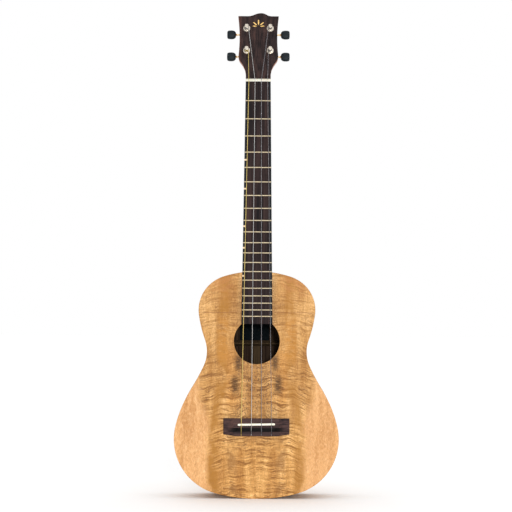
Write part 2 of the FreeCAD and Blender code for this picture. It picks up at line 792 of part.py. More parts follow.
def slanted(bar):
    """A bar across the bridge, turned so that its treble end is nearer the nut."""
    turned = bar.copy()
    turned.rotate(V(0, 0, SADDLE_Z), V(0, 1, 0), -SADDLE_SLANT)
    return turned


def saddle():
    """The bone bar in the bridge, with a rounded crown."""
    half = SADDLE_THICKNESS / 2
    bar = stadium(SADDLE_LENGTH, SADDLE_THICKNESS, -SADDLE_TOP, SADDLE_SLOT_FLOOR, SADDLE_Z)
    crown_start = V(-SADDLE_LENGTH / 2, half - SADDLE_TOP, SADDLE_Z)
    crown = Part.makeCylinder(half, SADDLE_LENGTH, crown_start, V(1, 0, 0))
    below = box((-WIDE, WIDE), (half - SADDLE_TOP, 0), (SADDLE_Z - half, SADDLE_Z + half))
    bar = bar.common(fused([crown, below]))
    return grooved(slanted(bar))


def bridge():
    """A wooden bridge with low wings, a saddle slot, a scooped channel and a slotted tie block."""
    half = BRIDGE_LENGTH / 2
    crest = 33.0
    top_z = SADDLE_Z + BRIDGE_ABOVE_SADDLE
    low_z = SADDLE_Z - BRIDGE_BELOW_SADDLE
    wing_z = low_z + 2.4
    slant_x = 30.5
    scoop = V((half + crest) / 2, -(BRIDGE_HEIGHT + BRIDGE_WING_HEIGHT) / 2 + 0.9, top_z)
    right = [
        line(V(half, 0, top_z), V(half, -BRIDGE_WING_HEIGHT, top_z)),
        arc(V(half, -BRIDGE_WING_HEIGHT, top_z), scoop, V(crest, -BRIDGE_HEIGHT, top_z)),
    ]
    ties = [
        line(V(-half, 0, top_z), V(half, 0, top_z)),
        line(V(-crest, -BRIDGE_HEIGHT, top_z), V(crest, -BRIDGE_HEIGHT, top_z)),
    ]
    edges = right + [mirrored(edge) for edge in right] + ties
    blank = Part.Face(Part.Wire(Part.__sortEdges__(edges))).extrude(V(0, 0, low_z - top_z))
    plan = polygon([
        V(-half, 0, top_z),
        V(half, 0, top_z),
        V(half, 0, wing_z),
        V(slant_x, 0, low_z),
        V(-slant_x, 0, low_z),
        V(-half, 0, wing_z),
    ]).extrude(V(0, -BRIDGE_HEIGHT, 0))
    blank = blank.common(plan)
    slot = slanted(stadium(SADDLE_LENGTH, SADDLE_THICKNESS, -BRIDGE_HEIGHT - 1, SADDLE_SLOT_FLOOR, SADDLE_Z))
    channel_front = SADDLE_Z - 5.0
    channel_back = SADDLE_Z - 10.8
    floor_y = -3.6
    floor_half = 27.0
    mouth_half = 39.0
    mouth_y = -BRIDGE_HEIGHT - 0.5
    channel = polygon([
        V(-floor_half, floor_y, channel_back),
        V(floor_half, floor_y, channel_back),
        V(mouth_half, mouth_y, channel_back),
        V(-mouth_half, mouth_y, channel_back),
    ]).extrude(V(0, 0, channel_front - channel_back))
    cutters = [slot, channel]
    for index, (_, diameter, _, _) in enumerate(STRINGS):
        x = string_x(index, SADDLE_SPREAD)
        reach = diameter / 2 + TIE_SLOT_CLEARANCE
        slot_depths = (-BRIDGE_HEIGHT - 1, KNOT_Y)
        cutters.append(box((x - reach, x + reach), slot_depths, (low_z - 1, channel_back + 1)))
        pocket_depth = KNOT_ABOVE_EDGE + KNOT_RADIUS + 2 * KNOT_CLEARANCE
        pocket_start = V(x, KNOT_Y, low_z - 1)
        cutters.append(Part.makeCylinder(KNOT_RADIUS + KNOT_CLEARANCE, pocket_depth + 1, pocket_start))
    for cutter in cutters:
        blank = blank.cut(cutter)
    return blank


# ---- tuners, drawn on the upright head ----
HEAD_BACK = HEAD_WOOD           # y of the head's back on the upright head
PLATE_BACK = HEAD_BACK + PLATE_THICKNESS
WORM_Y = HEAD_BACK + SHAFT_BEHIND_HEAD
GEAR_Y = WORM_Y - GEAR_THICKNESS / 2
EAR_INNER = 5.2                 # the ears that carry the worm shaft stand this far from the post's axis
EAR_THICKNESS = 1.2
JOURNAL_RADIUS = 1.2
WORM_CORE_RADIUS = 1.3
WORM_RADIUS = 2.25
WORM_TURNS = 4
WORM_PITCH = 2 * math.pi * GEAR_PITCH_RADIUS / GEAR_TEETH
SQUARE = 3.4                    # across the flats of the post's squared end
GEAR_SCREW_RADIUS = 1.0
STRING_HOLE_RADIUS = 0.6        # of the cross hole in the post's waist


def bushings():
    """Collared sleeves pressed into the face of the head, one for each post."""
    bore = POST_RADIUS + RUNNING_CLEARANCE
    sleeves = []
    for _, x, z, _ in post_places():
        start = V(x, -VENEER, z)
        barrel = Part.makeCylinder(BUSHING_RADIUS, VENEER + BUSHING_LENGTH, start, V(0, 1, 0))
        collar = Part.makeCone(COLLAR_RADIUS, COLLAR_RADIUS - 0.4, COLLAR_THICKNESS, start, V(0, -1, 0))
        hole = Part.makeCylinder(bore, 20, V(x, -VENEER - 3, z), V(0, 1, 0))
        sleeves.append(fused([barrel, collar]).cut(hole))
    return on_head(Part.makeCompound(sleeves))


def tuner_plate(x, z):
    """The stamped plate behind the head, with two ears that carry the worm shaft."""
    worm_z = z - CENTRE_DISTANCE
    half = 8.4
    below_worm = 3.4
    above_post = 7.2
    ear_half = 2.4
    base = box((x - half, x + half), (HEAD_BACK, PLATE_BACK), (worm_z - below_worm, z + above_post))
    corners = [edge for edge in base.Edges if abs(edge.tangentAt(0).y) > 0.9]
    pieces = [base.makeFillet(2.0, corners)]
    for side in (-1, 1):
        near = x + side * EAR_INNER
        far = x + side * (EAR_INNER + EAR_THICKNESS)
        x_range = (min(near, far), max(near, far))
        ear = box(x_range, (HEAD_BACK + PLATE_THICKNESS / 2, WORM_Y), (worm_z - ear_half, worm_z + ear_half))
        cap = Part.makeCylinder(ear_half, EAR_THICKNESS, V(x_range[0], WORM_Y, worm_z), V(1, 0, 0))
        pieces += [ear, cap]
    plate = fused(pieces)
    post_hole = Part.makeCylinder(POST_RADIUS + RUNNING_CLEARANCE, 3, V(x, HEAD_BACK - 1, z), V(0, 1, 0))
    journal = Part.makeCylinder(JOURNAL_RADIUS + RUNNING_CLEARANCE, 20, V(x - 10, WORM_Y, worm_z), V(1, 0, 0))
    plate = plate.cut(post_hole).cut(journal)
    for across, up in PLATE_SCREWS:
        screw_start = V(x + across, HEAD_BACK - 1, z + up)
        plate = plate.cut(Part.makeCylinder(SCREW_RADIUS, 3, screw_start, V(0, 1, 0)))
    return on_head(plate)


def plate_screws():
    """Round-headed wood screws, two in each plate."""
    screws = []
    for _, x, z, _ in post_places():
        for across, up in PLATE_SCREWS:
            start = V(x + across, PLATE_BACK, z + up)
            shank = Part.makeCylinder(SCREW_RADIUS, SCREW_DEPTH + PLATE_THICKNESS - 0.2, start, V(0, -1, 0))
            head = Part.makeCone(1.7, 1.1, 0.9, start, V(0, 1, 0))
            slot_depths = (PLATE_BACK + 0.5, PLATE_BACK + 1)
            slot = box((start.x - 2, start.x + 2), slot_depths, (start.z - 0.2, start.z + 0.2))
            screws.append(fused([shank, head]).cut(slot))
    return on_head(Part.makeCompound(screws))


def post(x, z):
    """The capstan: a squared rear end for the gear, a plain shaft and a waisted tip with a cross hole."""
    face_y = -VENEER
    shaft = Part.makeCylinder(POST_RADIUS, GEAR_Y - face_y + WAIST_START, V(x, GEAR_Y, z), V(0, -1, 0))
    waist_length = WAIST_END - WAIST_START
    waist_start = V(x, face_y - WAIST_START + 0.1, z)
    waist = Part.makeCylinder(POST_WAIST_RADIUS, waist_length + 0.2, waist_start, V(0, -1, 0))
    tip = Part.makeCylinder(POST_RADIUS, POST_HEIGHT - WAIST_END, V(x, face_y - WAIST_END, z), V(0, -1, 0))
    rims = [edge for edge in tip.Edges if edge.BoundBox.YMax - edge.BoundBox.YMin < 1e-6]
    tip = tip.makeFillet(0.7, rims)
    half = SQUARE / 2
    square = box((x - half, x + half), (GEAR_Y - 0.1, GEAR_Y + GEAR_THICKNESS), (z - half, z + half))
    whole = fused([shaft, waist, tip, square])
    cross_y = face_y - (WAIST_START + WAIST_END) / 2 - 0.9
    cross_hole = Part.makeCylinder(STRING_HOLE_RADIUS, 10, V(x - 5, cross_y, z), V(1, 0, 0))
    screw_hole = Part.makeCylinder(GEAR_SCREW_RADIUS, 6, V(x, GEAR_Y + GEAR_THICKNESS, z), V(0, -1, 0))
    return on_head(whole.cut(cross_hole).cut(screw_hole))


def gear(x, z):
    """The wheel on the post's squared end: its teeth leave a gap for the worm's thread at rest."""
    root_radius = 3.1
    tip_radius = 4.05
    root_half = 0.37
    tip_half = 0.18
    wheel = Part.makeCylinder(root_radius, GEAR_THICKNESS, V(0, 0, 0), V(0, 1, 0))
    pieces = [wheel]
    for index in range(GEAR_TEETH):
        tooth = polygon([
            V(-root_half, 0, root_radius - 0.3),
            V(root_half, 0, root_radius - 0.3),
            V(tip_half, 0, tip_radius),
            V(-tip_half, 0, tip_radius),
        ]).extrude(V(0, GEAR_THICKNESS, 0))
        tooth.rotate(V(0, 0, 0), V(0, 1, 0), 180 + 360 / GEAR_TEETH * (index + 0.5))
        pieces.append(tooth)
    whole = fused(pieces)
    half = SQUARE / 2
    whole = whole.cut(box((-half, half), (-1, GEAR_THICKNESS + 1), (-half, half)))
    whole.translate(V(x, GEAR_Y, z))
    return on_head(whole)


def gear_screw(x, z):
    """The slotted screw that holds the gear on the post."""
    start = V(x, GEAR_Y + GEAR_THICKNESS, z)
    head = Part.makeCone(2.5, 2.0, 1.2, start, V(0, 1, 0))
    shank = Part.makeCylinder(GEAR_SCREW_RADIUS, 5.6, start, V(0, -1, 0))
    slot = box((x - 3, x + 3), (start.y + 0.7, start.y + 2), (z - 0.25, z + 0.25))
    return on_head(fused([head, shank]).cut(slot))


def string_wrap(x, z, diameter):
    """The turns of string round a post's waist."""
    radius = diameter / 2
    centre = wrap_radius(diameter)
    pitch = diameter * 0.94
    start_y = -VENEER - wrap_height(diameter)
    sleeve_outer = centre + radius * 0.4
    length = pitch * (WRAP_TURNS - 1)
    sleeve = Part.makeCylinder(sleeve_outer, length, V(x, start_y, z), V(0, -1, 0))
    rings = []
    for turn in range(WRAP_TURNS):
        rings.append(Part.makeTorus(centre, radius, V(x, start_y - pitch * turn, z), V(0, 1, 0)))
    hole = Part.makeCylinder(POST_WAIST_RADIUS, 20, V(x, start_y + 5, z), V(0, -1, 0))
    return on_head(fused([sleeve] + rings).cut(hole))


def worm_thread():
    """One screw thread along X whose crest faces +Z at the middle of its length."""
    root_radius = WORM_CORE_RADIUS - 0.1
    root_half = 0.38
    tip_half = 0.17
    length = WORM_PITCH * WORM_TURNS
    helix = Part.makeHelix(WORM_PITCH, length, root_radius)
    corners = [
        V(root_radius, 0, -root_half),
        V(WORM_RADIUS, 0, -tip_half),
        V(WORM_RADIUS, 0, tip_half),
        V(root_radius, 0, root_half),
    ]
    profile = Part.makePolygon(corners + [corners[0]])
    thread = Part.Wire(helix.Edges).makePipeShell([profile], True, True)
    thread.translate(V(0, 0, -length / 2))
    thread.rotate(V(0, 0, 0), V(1, 0, 1), 180)
    return thread


def worm_shaft(x, z, side, thread):
    """The shaft from the inner ear to the button, with the worm cut on it and a collar by the button."""
    worm_z = z - CENTRE_DISTANCE
    inner = side * x - EAR_INNER - EAR_THICKNESS - 0.4
    length = BUTTON_INNER_X + BUTTON_BORE - inner
    start = min(side * inner, side * (inner + length))
    spindle = Part.makeCylinder(JOURNAL_RADIUS, length, V(start - x, 0, 0), V(1, 0, 0))
    core_half = EAR_INNER - 0.2
    core = Part.makeCylinder(WORM_CORE_RADIUS, 2 * core_half, V(-core_half, 0, 0), V(1, 0, 0))
    collar_start = side * (BUTTON_INNER_X - 1.6) - x
    collar = Part.makeCone(1.5, 2.1, 1.6, V(collar_start, 0, 0), V(side, 0, 0))
    whole = fused([core, thread]).fuse([spindle, collar])
    whole.translate(V(x, WORM_Y, worm_z))
    return on_head(whole)


def button(z, side):
    """The moulded key head: narrow at the shaft, broad and flat at the outer end."""
    worm_z = z - CENTRE_DISTANCE
    half = BUTTON_WIDTH / 2
    throat = 3.0
    shoulder = BUTTON_INNER_X + 4.2
    length = BUTTON_OUTER_X
    depth = BUTTON_THICKNESS
    blank = polygon([
        V(BUTTON_INNER_X, 0, -throat),
        V(shoulder, 0, -half),
        V(length, 0, -half + 0.6),
        V(length, 0, half - 0.6),
        V(shoulder, 0, half),
        V(BUTTON_INNER_X, 0, throat),
    ]).extrude(V(0, depth, 0))
    corners = [edge for edge in blank.Edges if abs(edge.tangentAt(0).y) > 0.9]
    outer = [edge for edge in corners if edge.BoundBox.XMin > BUTTON_INNER_X + 1]
    blank = blank.makeFillet(2.8, outer)
    rims = [edge for edge in blank.Edges if edge.BoundBox.YMax - edge.BoundBox.YMin < 1e-6]
    blank = blank.makeFillet(1.9, rims)
    bore = Part.makeCylinder(JOURNAL_RADIUS, BUTTON_BORE, V(BUTTON_INNER_X, depth / 2, 0), V(1, 0, 0))
    blank = blank.cut(bore)
    blank.translate(V(0, WORM_Y - depth / 2, worm_z))
    if side < 0:
        blank = mirrored(blank)
    return on_head(blank)


# ---- the whole instrument ----
def build():
    os.makedirs("parts", exist_ok=True)
    tongue = dovetail()
    side_bass, side_treble = sides(tongue)
    neck_block, tail_block = end_blocks(tongue)
    blocks = [neck_block, tail_block]
    back_braces = back_bracing()
    plate = bridge_plate()
    save(soundboard(), "soundboard")
    save(back(), "back")
    save(side_bass, "side_bass")
    save(side_treble, "side_treble")
    save(neck_block, "neck_block")
    save(tail_block, "tail_block")
    save(linings(TOP_THICKNESS, TOP_THICKNESS + LINING_HEIGHT, blocks), "soundboard_linings")
    save(linings(BACK_Y - LINING_HEIGHT, BACK_Y, blocks), "back_linings")
    save(Part.makeCompound(transverse_bracing()), "transverse_braces")
    save(fan_bracing(plate, tail_block), "fan_braces")
    save(plate, "bridge_plate")
    save(soundhole_ring(), "soundhole_ring")
    save(Part.makeCompound(back_braces), "back_braces")
    save(label(), "soundhole_label")
    save(back_strip(back_braces, blocks), "back_center_strip")

    inlay = head_inlay()
    markers = marker_blocks()
    save(neck(tongue), "neck")
    save(heel_cap(), "heel_cap")
    save(head_veneer(inlay), "headstock_veneer")
    save(inlay, "headstock_inlay")
    save(fretboard(markers), "fretboard")
    save(binding(markers), "fretboard_binding")
    save(frets(), "frets")
    save(markers, "fret_markers")
    save(nut(), "nut")
    save(bridge(), "bridge")
    save(saddle(), "saddle")
    save(bushings(), "tuner_bushings")
    save(plate_screws(), "tuner_plate_screws")

    thread = worm_thread()
    for index, (name, x, z, side) in enumerate(post_places()):
        save(string(index), "string_" + name)
        save(tuner_plate(x, z), "tuner_plate_" + name)
        save(post(x, z), "tuner_post_" + name)
        save(gear(x, z), "tuner_gear_" + name)
        save(gear_screw(x, z), "gear_screw_" + name)
        save(string_wrap(x, z, STRINGS[index][1]), "string_wrap_" + name)
        save(worm_shaft(x, z, side, thread), "worm_shaft_" + name)
        save(button(z, side), "tuner_button_" + name)


build()
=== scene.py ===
import bpy
import bmesh
import json
import math
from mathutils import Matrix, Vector


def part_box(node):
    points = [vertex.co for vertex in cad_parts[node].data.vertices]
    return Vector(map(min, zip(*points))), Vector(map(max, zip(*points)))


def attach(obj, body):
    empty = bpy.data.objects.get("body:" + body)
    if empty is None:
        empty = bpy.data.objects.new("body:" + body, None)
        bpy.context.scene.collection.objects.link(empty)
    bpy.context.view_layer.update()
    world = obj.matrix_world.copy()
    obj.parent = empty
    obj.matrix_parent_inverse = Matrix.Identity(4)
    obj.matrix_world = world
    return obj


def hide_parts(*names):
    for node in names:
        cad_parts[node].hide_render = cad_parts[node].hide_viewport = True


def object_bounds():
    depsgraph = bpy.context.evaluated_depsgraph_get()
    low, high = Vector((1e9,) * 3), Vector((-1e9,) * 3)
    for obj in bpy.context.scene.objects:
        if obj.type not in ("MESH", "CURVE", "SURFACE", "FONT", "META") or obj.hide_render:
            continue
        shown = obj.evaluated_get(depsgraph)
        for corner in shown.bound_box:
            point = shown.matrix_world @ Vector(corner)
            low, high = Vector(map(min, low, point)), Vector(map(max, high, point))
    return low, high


# The looks of a baritone ukulele. Metres, upright: +Z up the neck, the face looks along -Y.
# Materials work in millimetres of the same frame, so that grain and pores have their real size.

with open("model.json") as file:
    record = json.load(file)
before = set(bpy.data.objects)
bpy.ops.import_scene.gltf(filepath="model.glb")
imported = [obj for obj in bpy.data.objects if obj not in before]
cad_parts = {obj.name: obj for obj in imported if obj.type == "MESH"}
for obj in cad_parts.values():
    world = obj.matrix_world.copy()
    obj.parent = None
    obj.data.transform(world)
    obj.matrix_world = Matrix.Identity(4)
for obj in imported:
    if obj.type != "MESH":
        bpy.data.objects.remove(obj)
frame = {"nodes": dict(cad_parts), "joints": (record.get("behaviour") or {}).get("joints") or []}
NODES = frame["nodes"]
CAD_LOW, CAD_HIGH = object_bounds()

# ---- places taken from the frame ----
MM = 0.001
NUT_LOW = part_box("nut")[0]
SADDLE_LOW, SADDLE_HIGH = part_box("saddle")
BODY_LOW, BODY_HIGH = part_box("soundboard")
BACK_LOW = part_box("back")[0]
BRIDGE_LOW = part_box("bridge")[0]
RING_LOW, RING_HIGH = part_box("soundhole_ring")
SCALE = NUT_LOW.z - (SADDLE_LOW.z + SADDLE_HIGH.z) / 2
# the places that the materials use, in millimetres
SOUNDHOLE_Z = (RING_LOW.z + RING_HIGH.z) / 2 / MM
SADDLE_Z = (SADDLE_LOW.z + SADDLE_HIGH.z) / 2 / MM
BODY_TOP_Z = BODY_HIGH.z / MM
BODY_BOTTOM_Z = BODY_LOW.z / MM
BACK_INSIDE_Y = BACK_LOW.y / MM
BRIDGE_FACE_Y = BRIDGE_LOW.y / MM

# ---- pieces, in millimetres; strings run from bass to treble ----
STRING_NAMES = ("d", "g", "b", "e")
STRING_DIAMETERS = {"d": 0.90, "g": 0.76, "b": 0.80, "e": 0.64}
WRAP_TURNS = 3
WRAP_STEPS = 28                   # points in one turn
WRAP_CLOSENESS = 0.98             # pitch over diameter: the turns press on each other
WRAP_TAIL = (0.35, 0.7, 1.0)      # points of the end that goes into the post, as shares of its run
WRAP_TAIL_DEPTH = 0.8             # how far in it goes, as a share of the turns' radius
WRAP_TAIL_RISE = 0.6              # how far it goes on along the post, as a share of the pitch
BUTTON_HALF_WIDTH = 6.7
BUTTON_HALF_THICKNESS = 4.0
BUTTON_WIDTH_POWER = 0.62         # 1 gives an ellipse, and less gives squarer corners
BUTTON_THICKNESS_POWER = 0.80
BUTTON_SIDES = 24
WELD_DISTANCE = 0.001             # closer points of a CAD mesh become one
CORNER_ANGLE = 40.0               # degrees: sharper corners get a bevel

# ---- camera and light, with lengths in metres ----
CAMERA_DISTANCE = 3.0
SENSOR_WIDTH = 36.0               # millimetres
FAR_CLIP = 50.0
VIEW_WIDTH = 1.493 * SCALE        # the picture's width at the face of the fretboard
VIEW_CENTRE_BELOW_NUT = 0.5090 * SCALE
VIEW_CENTRE_X = -0.0019
CAMERA_ROLL = -0.31               # degrees
KEY_ELEVATION = 7.0               # degrees above level
KEY_SIDEWAYS = 0.12               # towards the treble side
KEY_STRENGTH = 1.45
KEY_SPREAD = 8.0                  # degrees across the lamp, seen from the instrument
TOP_STRENGTH = 2.2
TOP_SPREAD = 110.0
AMBIENT = 0.42
FLOOR_REACH = 6.0

# ---- colours used more than once ----
TAN_PORE = (0.230, 0.105, 0.040)
WHITE = (1.0, 1.0, 1.0)


# ---------------------------------------------------------------- material graphs
class Graph:
    """One material under construction. Values are numbers or the sockets of earlier nodes."""

    def __init__(self, name):
        self.material = bpy.data.materials.new(name)
        self.material.use_nodes = True
        self.tree = self.material.node_tree
        self.shader = self.tree.nodes["Principled BSDF"]
        place = self.tree.nodes.new("ShaderNodeTexCoord").outputs["Object"]
        self.place = self.scaled(place, 1 / MM)
        self.x, self.y, self.z = self.split(self.place)

    def put(self, socket, value):
        """Link or set one input."""
        if isinstance(value, bpy.types.NodeSocket):
            self.tree.links.new(value, socket)
        elif isinstance(value, (tuple, list)) and len(value) == 3 and socket.type == "RGBA":
            socket.default_value = (*value, 1.0)
        else:
            socket.default_value = value

    def math(self, operation, first, second=0.0, third=0.0, clamp=False):
        node = self.tree.nodes.new("ShaderNodeMath")
        node.operation = operation
        node.use_clamp = clamp
        for socket, value in zip(node.inputs, (first, second, third)):
            self.put(socket, value)
        return node.outputs[0]

    def scaled(self, vector, factor):
        node = self.tree.nodes.new("ShaderNodeVectorMath")
        node.operation = "SCALE"
        self.put(node.inputs[0], vector)
        self.put(node.inputs["Scale"], factor)
        return node.outputs[0]

    def split(self, vector):
        node = self.tree.nodes.new("ShaderNodeSeparateXYZ")
        self.put(node.inputs[0], vector)
        return node.outputs[0], node.outputs[1], node.outputs[2]

    def point(self, x, y, z):
        node = self.tree.nodes.new("ShaderNodeCombineXYZ")
        for socket, value in zip(node.inputs, (x, y, z)):
            self.put(socket, value)
        return node.outputs[0]

    def noise(self, vector, scale=1.0, detail=3.0, roughness=0.5, distortion=0.0):
        node = self.tree.nodes.new("ShaderNodeTexNoise")
        self.put(node.inputs["Vector"], vector)
        node.inputs["Scale"].default_value = scale
        node.inputs["Detail"].default_value = detail
        node.inputs["Roughness"].default_value = roughness
        node.inputs["Distortion"].default_value = distortion
        return node.outputs[0]

    def grain(self, across, depth, along, across_rate, along_rate,
              detail=3.0, roughness=0.5, distortion=0.0):
        """Noise drawn out along the grain. The rates are per millimetre over and with the grain."""
        place = self.point(self.times(across, across_rate), depth, self.times(along, along_rate))
        return self.noise(place, 1.0, detail, roughness, distortion)

    def drawn_out(self, x_rate, y_rate, z_rate):
        """Noise of the place itself, with its own rate per millimetre along each axis."""
        x, y, z = self.times(self.x, x_rate), self.times(self.y, y_rate), self.times(self.z, z_rate)
        return self.noise(self.point(x, y, z))

    def step(self, value, low, high, start=0.0, end=1.0):
        """A smooth step of value from start to end as it goes from low to high."""
        node = self.tree.nodes.new("ShaderNodeMapRange")
        node.interpolation_type = "SMOOTHSTEP"
        node.clamp = True
        names = ("Value", "From Min", "From Max", "To Min", "To Max")
        for name, given in zip(names, (value, low, high, start, end)):
            self.put(node.inputs[name], given)
        return node.outputs[0]

    def band(self, value, centre, half_width, softness):
        """1 within half_width of a centre, fading to 0 over softness."""
        away = self.math("ABSOLUTE", self.math("SUBTRACT", value, centre))
        return self.step(away, half_width, half_width + softness, 1.0, 0.0)

    def mix(self, share, first, second, blend="MIX"):
        node = self.tree.nodes.new("ShaderNodeMix")
        node.data_type = "RGBA"
        node.blend_type = blend
        self.put(node.inputs[0], share)
        self.put(node.inputs[6], first)
        self.put(node.inputs[7], second)
        return node.outputs[2]

    def ramp(self, value, *stops):
        """Colours in a row, each stop a place from 0 to 1 and a colour."""
        node = self.tree.nodes.new("ShaderNodeValToRGB")
        elements = node.color_ramp.elements
        while len(elements) < len(stops):
            elements.new(0.5)
        for element, (position, colour) in zip(elements, stops):
            element.position = position
            element.color = (*colour, 1.0)
        self.put(node.inputs[0], value)
        return node.outputs[0]

    def times(self, *values):
        product = values[0]
        for value in values[1:]:
            product = self.math("MULTIPLY", product, value)
        return product

    def bump(self, height, distance, strength):
        """Relief whose height runs from 0 to 1 over a distance in metres."""
        node = self.tree.nodes.new("ShaderNodeBump")
        node.inputs["Strength"].default_value = strength
        node.inputs["Distance"].default_value = distance
        self.put(node.inputs["Height"], height)
        self.put(self.shader.inputs["Normal"], node.outputs[0])

    def finish(self, colour, roughness, **fixed):
        """Set colour and roughness, and any other shader input that is the same all over."""
        self.put(self.shader.inputs["Base Color"], colour)
        self.put(self.shader.inputs["Roughness"], roughness)
        for name, value in fixed.items():
            self.put(self.shader.inputs[name.replace("_", " ")], value)
        return self.material


# ---------------------------------------------------------------- woods
def curl(g, across, along, depth):
    """The rippled figure of curly wood: slopes of the ripples, about -1 to 1, and thin dark lines."""
    sway = g.grain(across, depth, along, 0.030, 0.020, 2.0)
    arch = g.times(across, across, 0.0016)
    level = g.math("ADD", g.math("ADD", along, g.times(g.math("SUBTRACT", sway, 0.5), 22.0)), arch)
    length = g.math("MULTIPLY", across, 0.017)
    ripple = []
    for shift in (-0.6, 0.6):
        shifted = g.math("MULTIPLY", g.math("ADD", level, shift), 0.135)
        ripple.append(g.noise(g.point(length, depth, shifted), 1.0, 3.5, 0.60))
    slope = g.math("MULTIPLY", g.math("SUBTRACT", ripple[1], ripple[0]), 8.0)
    patches = g.grain(across, depth, along, 0.045, 0.055)
    low_contour = g.band(ripple[0], 0.445, 0.004, 0.018)
    high_contour = g.band(ripple[0], 0.560, 0.004, 0.015)
    contours = g.math("ADD", low_contour, high_contour, clamp=True)
    lines = g.times(contours, g.step(patches, 0.44, 0.58))
    return g.times(slope, g.step(patches, 0.30, 0.60, 0.45, 1.35)), lines


def tan_wood(g, across, along, depth, figured):
    """Golden tan wood and the slopes of its ripples, with painted light and shade on the ripples. figured is
    the share of curl, from 0 to 1.
    """
    slope, lines = curl(g, across, along, depth)
    broad = g.grain(across, depth, along, 0.060, 0.010)
    streak = g.grain(across, depth, along, 0.70, 0.030, 4.0, 0.65)
    grain = g.grain(across, depth, along, 0.50, 0.30, 4.0, 0.65)
    colour = g.ramp(broad, (0.34, (0.420, 0.180, 0.038)), (0.50, (0.580, 0.285, 0.080)),
                    (0.64, (0.750, 0.405, 0.140)))
    # painted light and shade: each ripple is lightened towards a whitish sheen on one slope and darkened on
    # the other
    shade = g.ramp(g.math("MULTIPLY_ADD", slope, 0.5, 0.5),
                   (0.10, (0.50, 0.42, 0.30)), (0.40, (0.92, 0.90, 0.85)), (0.58, (1.04, 1.05, 1.07)),
                   (0.90, (1.32, 1.42, 1.60)))
    colour = g.mix(figured, colour, shade, "MULTIPLY")
    colour = g.mix(g.times(figured, lines, 0.80), colour, (0.180, 0.066, 0.016))
    plain = g.math("MULTIPLY_ADD", figured, -0.55, 0.95)
    shade = g.ramp(streak, (0.30, (0.78, 0.72, 0.64)), (0.50, WHITE), (0.68, (1.12, 1.15, 1.20)))
    colour = g.mix(plain, colour, shade, "MULTIPLY")
    shade = g.ramp(grain, (0.30, (0.70, 0.64, 0.55)), (0.50, WHITE), (0.70, (1.20, 1.24, 1.32)))
    colour = g.mix(0.90, colour, shade, "MULTIPLY")
    return colour, slope


def pores(g, across, along, depth):
    """Short dark open pores that run with the grain, as a share from 0 to 1."""
    dashes = g.grain(across, depth, along, 2.3, 0.30, 2.0, 0.5)
    return g.step(dashes, 0.58, 0.68)


def tan_relief(g, open_pores, slope):
    """Under the lacquer the pores sink and the ripples rise a little."""
    g.bump(g.math("ADD", g.times(open_pores, -0.6), g.times(slope, 0.2)), 0.00005, 0.6)


